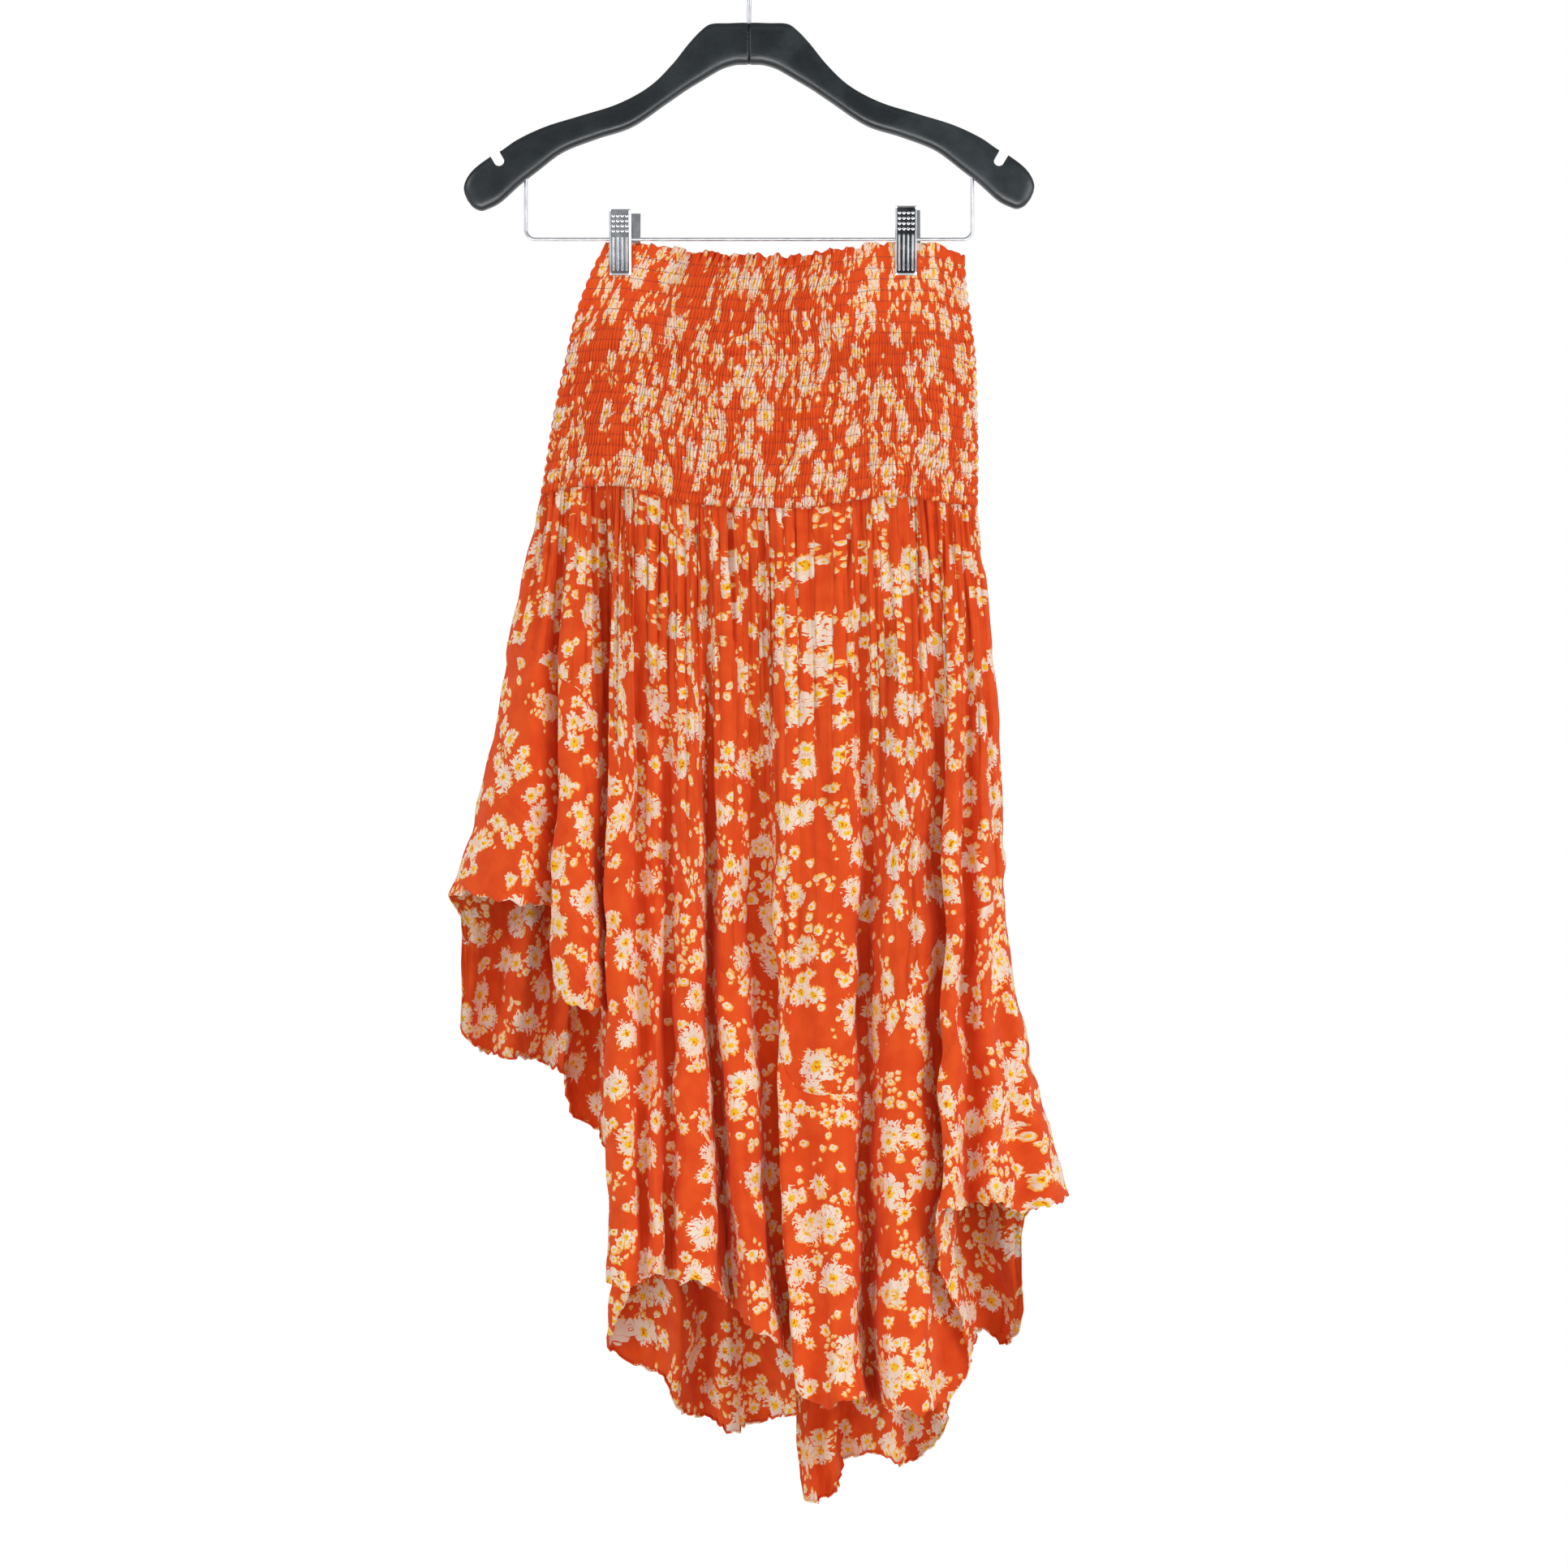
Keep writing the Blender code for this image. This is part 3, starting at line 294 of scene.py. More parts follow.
def daisyLayer(tools, place, warps, ground, daisies, fewer):
    # One scatter of daisies over the colour so far. Each place of a loose lattice holds one daisy
    # or none. A petal reaches to its own random length, less towards the slit at its sides, and
    # noise that runs round the heart and along the petals frays its tip.
    put, calc, mix, ramp, noise, join, shader = tools
    bend, ragged, patch = warps
    shift = (daisies["shift"][0] * mm, daisies["shift"][1] * mm, 0.0)
    moved = put("VectorMath", {0: place, 1: shift}, operation="ADD")
    lattice = {"Vector": moved, "Scale": 1.0 / (daisies["cell"] * mm), "Randomness": daisies["scatter"]}
    cells = put("TexVoronoi", lattice, voronoi_dimensions="2D", feature="F1")
    chance = put("SeparateColor", {0: cells.outputs["Color"]})
    middle = cells.outputs["Position"]
    arm = put("VectorMath", {0: moved, 1: middle}, operation="SUBTRACT")
    split = put("SeparateXYZ", {0: arm})
    angle = calc("ARCTAN2", split.outputs[1], split.outputs[0])
    low, high = daisies["radius"]
    radius = calc("MULTIPLY_ADD", chance.outputs[1], (high - low) * mm, low * mm)

    def inRadii(size):
        return calc("DIVIDE", size * mm, radius)

    length = put("VectorMath", {0: arm}, operation="LENGTH")
    reach = calc("DIVIDE", length.outputs["Value"], radius)
    turned = calc("MULTIPLY_ADD", chance.outputs[0], 2.0 * math.pi, angle)
    turned = calc("MULTIPLY_ADD", bend, daisy["bend"], turned)
    fewest, spread = daisies["petals"]
    petals = calc("FLOOR", calc("MULTIPLY_ADD", chance.outputs[2], spread + 0.99, fewest))
    count = calc("DIVIDE", calc("MULTIPLY", turned, petals), 2.0 * math.pi)
    index = calc("FLOORED_MODULO", calc("FLOOR", count), petals)
    across = calc("MULTIPLY", calc("ABSOLUTE", calc("SUBTRACT", calc("FRACT", count), 0.5)), 2.0)
    own = put("CombineXYZ", {0: index, 1: calc("MULTIPLY", chance.outputs[0], 91.7), 2: 0.0})
    luck = put("TexWhiteNoise", {"Vector": own}, noise_dimensions="2D")
    shortest = daisies["shortest"]
    petal = calc("MULTIPLY_ADD", luck.outputs["Value"], 1.0 - shortest, shortest)
    dip = calc("MULTIPLY", calc("POWER", across, daisy["dipPower"]), daisy["dip"] * daisies["notch"])
    depth = calc("ADD", luck.outputs["Value"], daisy["slitLeast"])
    cut = calc("MULTIPLY", calc("POWER", across, daisy["slitPower"]), depth)
    slit = calc("MULTIPLY_ADD", cut, daisies["notch"], dip)
    heading = put("VectorMath", {0: arm}, operation="NORMALIZE")
    turns, jump = daisy["frayTurn"], daisy["frayJump"]
    heading = put("VectorMath", {0: heading, 1: (turns, turns, 0.0)}, operation="MULTIPLY")
    heading = put("VectorMath", {0: middle, 1: (jump, jump, 0.0), 2: heading}, operation="MULTIPLY_ADD")
    frayed = noise(heading, 1.0, daisy["frayDetail"], "2D")
    edge = calc("MULTIPLY", petal, calc("SUBTRACT", 1.0, slit))
    edge = calc("MULTIPLY_ADD", calc("SUBTRACT", frayed, 0.5), daisies["spikes"], edge)
    edge = calc("MULTIPLY_ADD", ragged, calc("MULTIPLY", inRadii(1.0), daisy["ragged"]), edge)
    inside = calc("SUBTRACT", edge, reach)
    draw = put("TexWhiteNoise", {"Vector": middle}, noise_dimensions="2D")
    near = calc("SUBTRACT", noise(middle, 1.0 / (daisies["patch"] * mm), 1.0, "2D"), 0.5)
    clustering = daisy["clustering"] * daisies["cluster"]
    wanted = calc("MULTIPLY_ADD", near, clustering, daisies["present"] - fewer)
    held = calc("LESS_THAN", draw.outputs["Value"], wanted)
    softness = inRadii(daisy["softEdge"])

    def covered(amount):
        return calc("MULTIPLY", ramp(amount, 0.0, softness), held)

    lit = calc("COSINE", calc("ADD", angle, daisy["rimFrom"]))
    lit = calc("MULTIPLY_ADD", lit, daisy["rimShare"], daisy["rimShare"])
    rim = calc("MULTIPLY", lit, inRadii(daisy["rim"]))
    around = calc("ADD", inside, inRadii(daisy["groundRim"]))
    colour = mix(covered(around), ground, printColours["ground"])
    colour = mix(covered(calc("ADD", inside, rim)), colour, printColours["edging"])
    petalColour = mix(patch, printColours["petal"], printColours["petalShade"])
    colour = mix(covered(inside), colour, petalColour)
    heart = calc("SUBTRACT", calc("MULTIPLY_ADD", ragged, daisy["heartRagged"], daisies["heart"]), reach)
    colour = mix(covered(heart), colour, printColours["heart"])
    mark = calc("SUBTRACT", calc("MULTIPLY_ADD", ragged, daisy["markRagged"], daisy["mark"]), reach)
    return mix(covered(mark), colour, printColours["heartMark"])


# Scales of the crepe's noises, per metre, its grain and its gloss
crepe = {
    "wanderScale": 75.0, "wanderReach": 5.0, "bendScale": 210.0, "raggedScale": 520.0,
    "patchScale": 60.0, "patchRange": (0.35, 0.7), "grainScale": 1900.0, "grainShare": 0.18,
    "roughness": 0.82, "specular": 0.12, "sheen": 0.06, "sheenRoughness": 0.45,
}


def printedCloth(name, shift, crinkle, crinkleHeight, fewer):
    # Thin crepe with scattered daisies: colour from the flat cloth's own map, darkened by painted shade in
    # the folds, and fine crinkles along the cloth as relief.
    material = bpy.data.materials.new(name)
    tools = nodeTools(material)
    put, calc, mix, ramp, noise, join, shader = tools
    flat = put("UVMap", {}, uv_map="flatCloth")
    place = put("VectorMath", {0: flat, 1: (shift[0] * mm, shift[1] * mm, 0.0)}, operation="ADD")
    wander = noise(place, crepe["wanderScale"], 1.0, "2D").outputs["Color"]
    wander = put("VectorMath", {0: wander, 1: (0.5, 0.5, 0.5)}, operation="SUBTRACT")
    reach = crepe["wanderReach"] * mm
    place = put("VectorMath", {0: wander, 1: (reach, reach, 0.0), 2: place}, operation="MULTIPLY_ADD")
    bend = calc("SUBTRACT", noise(place, crepe["bendScale"], 2.0, "2D"), 0.5)
    ragged = calc("SUBTRACT", noise(place, crepe["raggedScale"], 3.0, "2D"), 0.5)
    patch = ramp(noise(place, crepe["patchScale"], 2.0, "2D"), *crepe["patchRange"])
    colour = mix(patch, printColours["ground"], printColours["groundDeep"])
    for daisies in daisyLayers:
        colour = daisyLayer(tools, place, (bend, ragged, patch), colour, daisies, fewer)
    # Painted shade: the fold shade attribute mixes the print towards its darker copy under the shade tint.
    depth = put("Attribute", {}, attribute_name="paintedFoldShade")
    dim = mix(1.0, colour, printColours["paintedShadeTint"], "MULTIPLY")
    join(mix(depth.outputs["Fac"], colour, dim), shader.inputs["Base Color"])
    stretched = put("VectorMath", {0: place, 1: crinkle}, operation="MULTIPLY")
    grain = noise(place, crepe["grainScale"], 1.0, "2D")
    height = calc("MULTIPLY_ADD", grain, crepe["grainShare"], noise(stretched, 1.0, 3.0, "2D"))
    bump = put("Bump", {"Height": height, "Distance": crinkleHeight * mm, "Strength": 1.0})
    join(bump, shader.inputs["Normal"])
    shader.inputs["Roughness"].default_value = crepe["roughness"]
    shader.inputs["Specular IOR Level"].default_value = crepe["specular"]
    shader.inputs["Sheen Weight"].default_value = crepe["sheen"]
    shader.inputs["Sheen Roughness"].default_value = crepe["sheenRoughness"]
    return material


wrap = {
    "grainScale": 900.0, "grainRange": (0.35, 0.75), "poreScale": 1300.0, "poreShare": 0.6,
    "mottleScale": 28.0, "mottleRange": (0.42, 0.72), "mottleFrom": -4.0, "mottleTo": 25.0,
    "mottleShare": (0.25, 0.75), "glossRange": (0.3, 0.7), "roughness": (0.26, 0.38),
    "seamHalfWidth": 0.15, "seamFade": 0.8, "rayScale": (70.0, 10.0, 420.0),
    "puckerFrom": 0.5, "puckerTo": 14.0, "pucker": 9.0, "relief": 0.1,
}


def wrapMaterial():
    # Charcoal wrap with a fine grain, a soft satin gloss and faint lighter patches, more of them on
    # the right arm, and a dark seam in the middle that puckers the wrap beside it.
    material = bpy.data.materials.new("hanger_wrap")
    put, calc, mix, ramp, noise, join, shader = nodeTools(material)
    place = put("TexCoord", {}).outputs["Object"]
    across = put("SeparateXYZ", {0: place})
    grain = noise(place, wrap["grainScale"], 4.0, roughness=0.6)
    pores = put("TexVoronoi", {"Vector": place, "Scale": wrap["poreScale"]}, feature="F1")
    mottle = noise(place, wrap["mottleScale"], 5.0, roughness=0.62)
    colour = mix(ramp(grain, *wrap["grainRange"]), shade(24, 29, 32), shade(37, 44, 48))
    side = ramp(across, wrap["mottleFrom"] * mm, wrap["mottleTo"] * mm, *wrap["mottleShare"])
    mottled = calc("MULTIPLY", ramp(mottle, *wrap["mottleRange"]), side)
    colour = mix(mottled, colour, shade(58, 66, 70))
    fromSeam = calc("ABSOLUTE", across)
    beside = ramp(fromSeam, wrap["seamHalfWidth"] * mm, wrap["seamFade"] * mm)
    join(mix(beside, shade(8, 9, 10), colour), shader.inputs["Base Color"])
    join(calc("MULTIPLY", beside, 0.5), shader.inputs["Specular IOR Level"])
    join(ramp(mottle, *wrap["glossRange"], *wrap["roughness"]), shader.inputs["Roughness"])
    height = calc("MULTIPLY_ADD", pores.outputs["Distance"], wrap["poreShare"], grain)
    rays = put("VectorMath", {0: place, 1: wrap["rayScale"]}, operation="MULTIPLY")
    reach = (wrap["puckerFrom"] * mm, wrap["puckerTo"] * mm)
    nearSeam = ramp(fromSeam, *reach, wrap["pucker"], 0.0, "SMOOTHSTEP")
    height = calc("MULTIPLY_ADD", noise(rays, 1.0, 2.0), nearSeam, height)
    bump = put("Bump", {"Height": height, "Distance": wrap["relief"] * mm, "Strength": 0.5})
    join(bump, shader.inputs["Normal"])
    return material


def metalMaterial(name, colour, low, high, metallic):
    # Bright plating with faint smudges in its gloss, which runs from roughness low to high.
    material = bpy.data.materials.new(name)
    put, calc, mix, ramp, noise, join, shader = nodeTools(material)
    smudge = noise(put("TexCoord", {}).outputs["Object"], 160.0, 4.0)
    join(ramp(smudge, 0.3, 0.75, low, high), shader.inputs["Roughness"])
    join(mix(ramp(smudge, 0.3, 0.7), colour, shade(236, 238, 242)), shader.inputs["Base Color"])
    shader.inputs["Metallic"].default_value = metallic
    return material


def threadMaterial():
    # Thin dark elastic thread with a twist along it.
    material = bpy.data.materials.new("shirring_thread")
    put, calc, mix, ramp, noise, join, shader = nodeTools(material)
    twist = noise(put("TexCoord", {}).outputs["Object"], 1500.0, 2.0)
    join(mix(twist, shade(122, 42, 28), shade(140, 84, 80)), shader.inputs["Base Color"])
    shader.inputs["Roughness"].default_value = 0.7
    return material


# Shift of the print, scale of the crinkles across and along, their height, and how many daisies fewer
yokeCloth = printedCloth("yoke_cloth", (0.0, 0.0), (260.0, 30.0, 1.0), 0.4, 0.0)
skirtCloth = printedCloth("skirt_cloth", (431.0, 177.0), (640.0, 28.0, 1.0), 0.8, 0.03)
flounceCloth = printedCloth("flounce_cloth", (903.0, 512.0), (420.0, 40.0, 1.0), 0.6, 0.02)
hangerWrap = wrapMaterial()
wireChrome = metalMaterial("chromed_wire", shade(206, 209, 214), 0.28, 0.36, 0.85)
clipChrome = metalMaterial("clip_metal", shade(206, 210, 216), 0.09, 0.13, 1.0)
shirringThread = threadMaterial()
print("materials ready")

# The cloth's measured lines, as in the solids

clips = {"left": (-95.1, -271.4), "right": (115.8, -271.4)}  # x of the middle, z of the lower end
yokeTop = (
    (-106.2, -247.2), (-104, -248.3), (-83, -248.3), (-67, -250.6),
    (-41, -256), (-9, -258), (20, -259), (46, -256.6),
    (76, -252.3), (95, -248.5), (137, -248.3), (148, -254), (159.6, -256.6),
)
yokeBottom = (
    (-154, -434), (-113, -429.6), (-90, -430.8), (-67, -437),
    (-44, -443), (-9, -446), (23, -446.8), (55, -444.6),
    (96, -438.6), (119, -438.2), (142, -441.6), (168.6, -442.8),
)
yokeLeft = (
    (-434, -154), (-415, -150.8), (-374, -144.4), (-334, -135.8),
    (-301.6, -128.4), (-272.8, -118.2), (-247.2, -106.2),
)
yokeRight = (
    (-442.8, 168.6), (-415, 169.2), (-374, 168.6), (-336.4, 167.4),
    (-293.2, 162.4), (-269.8, 159.7), (-256.6, 159.6),
)

# A row for each fold line: x at yoke, flounce seam and hem, depth at seam and hem, z of seam and hem
foldColumns = ("xYoke", "xSeam", "xHem", "depthSeam", "depthHem", "zSeam", "zHem")
frontFolds = (
    (-154, -180, -221, 0.15, 0.15, -551, -729),
    (-149, -168.5, -201, 20, 30, -554, -731),
    (-142, -154.5, -168.5, 32, 46, -558, -736),
    (-133, -137, -136, 13, 15, -566, -745),
    (-129, -138.5, -143.5, 34, 48, -569, -800),
    (-121, -125.5, -124, 42, 61, -577, -805),
    (-114, -112, -110.5, 32, 45, -597, -808),
    (-108, -105, -100, 17, 20, -604, -834),
    (-102.5, -93.5, -86.5, 14, 15, -622, -910),
    (-97, -103, -105, 38, 56, -615, -1003),
    (-90, -90, -88.5, 46, 70, -650, -1008),
    (-80, -79, -75.5, 28, 56, -690, -1002),
    (-70, -67.5, -63.5, 40, 72, -699, -996),
    (-60, -58, -54.5, 28, 48, -705, -1007),
    (-50, -46.5, -42, 46, 68, -715, -1006),
    (-40, -35, -24, 42, 60, -743, -1014),
    (-33, -28.5, -13.5, 15, 20, -764, -1027),
    (-22, -18.5, 3.5, 40, 62, -786, -1041),
    (-11, -4, 19, 36, 56, -797, -1049),
    (-1, 6, 27, 14, 18, -807, -1059),
    (9, 22, 39, 13, 16, -825, -1074),
    (18, 21, 36, 42, 60, -845, -1088),
    (34, 39, 51.5, 37, 56, -870, -1095),
    (52, 56.5, 64, 46, 69, -873, -1093),
    (71, 77, 78.5, 40, 60, -872, -1093),
    (80, 87, 88.5, 14, 18, -867, -1099),
    (97, 103.5, 105, 44, 64, -831, -1094),
    (118, 123.5, 125, 40, 55, -788, -1100),
    (129, 138.5, 144, 16, 22, -756, -1100),
    (135, 147.5, 161.5, 12, 16, -751, -1077),
    (141, 141, 135, 38, 62, -749, -955),
    (147, 150, 148, 44, 64, -744, -950),
    (152.5, 159.5, 163, 24, 34, -742, -954),
    (157.5, 170, 179.5, 38, 54, -737, -954),
    (162, 179.5, 201, 21, 25, -734, -957),
    (165.6, 186, 221, 13, 27, -734, -952),
    (168.6, 189.5, 237, 0.15, 0.15, -734, -951),
)
backFolds = (
    (-154, -180, -221, 0.15, 0.15, -551, -729),
    (-152.5, -178, -214, 6, 10, -556, -750),
    (-150, -175, -213, 14, 22, -575, -838),
    (-144, -167, -198, 30, 44, -599, -851),
    (-137, -153, -174.5, 15, 20, -612, -851),
    (-130, -144.5, -154.5, 34, 48, -620, -855),
    (-123, -134.5, -138.5, 20, 26, -626, -858),
    (-117, -129, -134, 34, 50, -645, -896),
    (-108, -117.5, -116, 40, 58, -660, -906),
    (-103, -108, -104, 18, 24, -676, -925),
    (-98, -92, -85, 16, 18, -718, -992),
    (-92, -86, -108, 38, 60, -772, -1070),
    (-84, -89, -87, 46, 68, -803, -1086),
    (-72, -71.5, -61.5, 34, 46, -832, -1092),
    (-62, -58.5, -51, 22, 27, -852, -1111),
    (-48, -42, -34.5, 46, 66, -884, -1130),
    (-32, -24.5, -13.5, 30, 40, -893, -1129),
    (-16, -8.5, 5.5, 44, 62, -897, -1127),
    (0, 13, 37.5, 28, 30, -898, -1117),
    (10, 23, 43, 18, 24, -912, -1179),
    (24, 37, 54, 46, 50, -940, -1184),
    (40, 53, 67, 34, 44, -929, -1184),
    (56, 68, 70.5, 48, 60, -920, -1158),
    (72, 85.5, 103, 27, 30, -908, -1152),
    (88, 101.5, 123.5, 46, 62, -905, -1158),
    (104, 118, 142.5, 28, 32, -883, -1132),
    (115, 130, 150.5, 44, 56, -864, -1095),
    (126, 143, 162, 21, 22, -852, -1082),
    (134, 154, 171, 40, 50, -843, -1056),
    (143, 165.5, 188.5, 44, 56, -833, -1069),
    (151, 174.5, 201, 28, 28, -812, -1062),
    (158, 181, 205, 19, 22, -781, -969),
    (164, 187, 225, 13, 15, -756, -958),
    (168.6, 189.5, 237, 0.15, 0.15, -734, -951),
)

# The yoke

yoke = {
    "halfDepthTop": 13.0, "halfDepthBottom": 36.0, "roundness": 2.6, "pressedDepth": 1.85,
    "header": 9.0, "rowPitch": 8.0, "rows": 22, "edgeDepth": 0.15,
    "pinchHalfWidth": 20.0, "pinchFadeWidth": 40.0, "pinchHeight": 32.0, "pinchFadeHeight": 50.0,
    "columnsPerGather": 3, "levelsPerRow": 4, "headerLevels": 6,
    "puff": 0.8, "gatherHeight": 1.05, "wander": 1.0, "slowWander": 2.4, "pinchCalm": 0.85,
    "wanderScale": (0.6, 0.8), "slowScale": (0.13, 0.25), "unevenScale": (0.9, 0.9),
    "frill": 2.8, "frillGathers": 3.8, "frillLift": 4.2, "scallop": 1.3, "sideGathers": 3.0,
    "frillDrift": 1.6, "frillScale": (0.17, 0.0), "liftScale": (0.45, 0.0),
    # Strengths of the painted shade in the gather valleys, between the rows, in the frill and on the seam
    "valleyShade": 0.6, "rowShade": 0.15, "headerShade": 0.6, "seamShade": 0.4,
    "flatWidth": 810.0, "flatShown": 0.78, "slip": 5.5, "thickness": 0.45,
    "topRadius": 0.7, "topLevels": 4, "topStep": 0.8, "turnRadius": 1.0, "turnLevels": 5, "turnStep": 0.9,
    "threadRadius": 0.2, "threadLift": 0.1, "threadSides": 3,
}


def pinchShare(x, drop):
    # How far the clips press the cloth flat at x and at a drop below the top edge.
    share = np.zeros(np.broadcast(x, drop).shape)
    for middle, low in clips.values():
        across = 1.0 - ease((np.abs(x - middle) - yoke["pinchHalfWidth"]) / yoke["pinchFadeWidth"])
        down = 1.0 - ease((drop - yoke["pinchHeight"]) / yoke["pinchFadeHeight"])
        share = np.maximum(share, across * down)
    return share


def yokeDepth(share, x, dropShare, drop):
    # Half of a flattened tube: a superellipse across, deeper downwards, pressed flat at the clips.
    half = yoke["halfDepthTop"] + (yoke["halfDepthBottom"] - yoke["halfDepthTop"]) * dropShare
    rounding = np.sqrt(np.clip(1.0 - np.abs(2.0 * share - 1.0) ** yoke["roundness"], 0.0, 1.0))
    pressed = yoke["pressedDepth"]
    depth = pressed + (half * rounding - pressed) * (1.0 - pinchShare(x, drop))
    return np.maximum(depth, pressed)


def outwards(grid):
    # Level unit vectors that point out of the cloth, from its steps across and down.
    out = np.cross(np.gradient(grid, axis=1), np.gradient(grid, axis=0))
    out[..., 2] = 0.0
    return out / np.maximum(np.linalg.norm(out, axis=-1, keepdims=True), 1e-6)


def turnUnder(edge, out, radius, levels, way):
    # Rows that curl the cloth's edge inwards round a small circle; way is -1 below, +1 above.
    angle = np.linspace(0.0, 1.45 * math.pi, levels + 1)[1:, None, None]
    centre = edge - out * radius
    upright = np.array((0.0, 0.0, way))
    return centre + radius * (np.cos(angle) * out + np.sin(angle) * upright)


def sideways(grid, side):
    # Depth becomes y: -1 puts the cloth in front, +1 behind.
    return grid * np.array((1.0, side, 1.0))


def makeCloth(replaced, whole, side, material, uv, shade, thickness):
    # A thin wall inwards from a grid of rows and columns that faces outwards in front and behind.
    faces = gridFaces(*whole.shape[:2])
    if side > 0:
        faces = turnedFaces(faces)
    piece = makePiece(replaced + "_cloth", sideways(whole, side), faces, material, uv, shade=shade)
    wall = piece.modifiers.new("cloth thickness", "SOLIDIFY")
    wall.thickness = thickness * mm
    wall.offset = -1.0
    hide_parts(replaced)


def yokeBase(share, drop):
    # The smooth tube: x between the side edges, z between the top edge and the seam.
    total = yoke["header"] + yoke["rowPitch"] * yoke["rows"]
    down = drop / total
    topLeft, topRight = yokeTop[0], yokeTop[-1]
    lowLeft, lowRight = yokeBottom[0], yokeBottom[-1]
    left = lineAt(yokeLeft, topLeft[1] + (lowLeft[1] - topLeft[1]) * down)
    right = lineAt(yokeRight, topRight[1] + (lowRight[1] - topRight[1]) * down)
    x = left + (right - left) * share
    top = lineAt(yokeTop, topLeft[0] + (topRight[0] - topLeft[0]) * share)
    low = lineAt(yokeBottom, lowLeft[0] + (lowRight[0] - lowLeft[0]) * share)
    z = top + (low - top) * down
    depth = yokeDepth(share, x, down, drop)
    depth[:, [0, -1]] = yoke["edgeDepth"]
    return np.stack((x, depth, z), axis=-1)


def makeYoke(name, side, gathers, seed):
    # Puffs between the shirring rows, a crest for each gather and a frill above the first row, as
    # relief square to the smooth tube. Each gather shows a part of its share of the flat cloth.
    columns = gathers * yoke["columnsPerGather"] + 1
    gather = np.linspace(0.0, gathers, columns)[None, :]
    headerDrops = np.linspace(0.0, yoke["header"], yoke["headerLevels"] + 1)[:-1]
    rowSteps = np.arange(yoke["rows"] * yoke["levelsPerRow"] + 1) / yoke["levelsPerRow"]
    drop = np.concatenate((headerDrops, yoke["header"] + yoke["rowPitch"] * rowSteps))[:, None]
    row = np.maximum((drop - yoke["header"]) / yoke["rowPitch"], -1.0)
    header = np.clip(1.0 - drop / yoke["header"], 0.0, 1.0)
    shirred = header <= 0.0
    edge = np.minimum(gather, gathers - gather)
    inner = ease(edge / 2.0)

    def soft(scale, shift):
        return patches(gather * yoke[scale][0], row * yoke[scale][1], seed + shift)

    wander = (soft("wanderScale", 0) - 0.5) * yoke["wander"]
    wander += (soft("slowScale", 1) - 0.5) * yoke["slowWander"]
    grid = yokeBase(gather / gathers, drop)
    step = np.gradient(grid[..., 0], axis=1) * yoke["columnsPerGather"]
    grid[..., 0] += wander * inner * step
    out = outwards(grid)
    free = (1.0 - yoke["pinchCalm"] * pinchShare(grid[..., 0], drop)) * ease(edge / 1.5)
    between = np.abs(np.sin(math.pi * row)) ** 0.7
    crest = np.abs(np.sin(math.pi * gather)) ** 0.6
    uneven = 0.55 + 0.9 * soft("unevenScale", 2)
    relief = yoke["puff"] * (1.5 * between - 0.8) * shirred
    relief = relief + yoke["gatherHeight"] * uneven * (crest - 0.6) * (0.55 + 0.45 * between)
    wave = gather / yoke["frillGathers"] + yoke["frillDrift"] * soft("frillScale", 3)
    relief = relief + yoke["frill"] * header ** 0.8 * np.sin(2.0 * math.pi * wave)
    grid = grid + out * (relief * free)[..., None]
    grid[..., 1] = np.maximum(grid[..., 1], yoke["edgeDepth"])
    lift = (soft("liftScale", 4) - 0.5) * yoke["frillLift"]
    grid[..., 2] += header * lift * inner
    fromSide = 1.0 - ease(edge / yoke["sideGathers"])
    sideSign = np.where(gather < 0.5 * gathers, -1.0, 1.0)
    grid[..., 0] += sideSign * fromSide * yoke["scallop"] * (between - 0.5) * shirred
    top = turnUnder(grid[0], out[0], yoke["topRadius"], yoke["topLevels"], 1.0)[::-1]
    low = turnUnder(grid[-1], out[-1], yoke["turnRadius"], yoke["turnLevels"], -1.0)
    whole = np.concatenate((top, grid, low))
    # Painted shade: darker in the gather valleys, between the shirring rows, in the frill's valleys and on
    # the turned-under seam, less where the clips press the cloth flat.
    shade = yoke["valleyShade"] * uneven * (1.0 - crest) ** 1.5 + yoke["rowShade"] * (1.0 - between) ** 2
    shade = (shade * shirred + yoke["headerShade"] * header * (1.0 - crest)) * free
    topShade = np.repeat(shade[:1], yoke["topLevels"], axis=0)
    shade = np.concatenate((topShade, shade, np.full((yoke["turnLevels"], columns), yoke["seamShade"])))
    number = np.floor(gather)
    shown = yoke["flatShown"] * (gather - number) + 0.5 * (1.0 - yoke["flatShown"])
    across = yoke["flatWidth"] / gathers * (number + shown)
    before = drop[0] - np.arange(yoke["topLevels"], 0, -1) * yoke["topStep"]
    after = drop[-1] + np.arange(1, yoke["turnLevels"] + 1) * yoke["turnStep"]
    slips = np.random.default_rng(seed + 5).uniform(-0.5, 0.5, gathers + 1) * yoke["slip"]
    downs = np.concatenate((before, drop[:, 0], after))[:, None] + slips[number.astype(int)]
    uv = np.stack(np.broadcast_arrays(across, downs * side), axis=-1)
    makeCloth(name, whole, side, yokeCloth, uv, shade, yoke["thickness"])
    threadRows = yoke["headerLevels"] + yoke["levelsPerRow"] * np.arange(yoke["rows"] + 1)
    kept = np.ix_(threadRows, np.arange(2, columns - 2, 2))
    paths = sideways(grid[kept] + out[kept] * yoke["threadLift"], side)
    rings = tubes(paths, yoke["threadRadius"], yoke["threadSides"], sideways(out[kept], side))
    thread = makePiece(name + "_thread", rings, tubeFaces(*rings.shape[:3]), shirringThread)


makeYoke("yoke_front", -1.0, 150, 11)
makeYoke("yoke_back", 1.0, 124, 31)
print("yoke ready")

# The skirt and the flounce

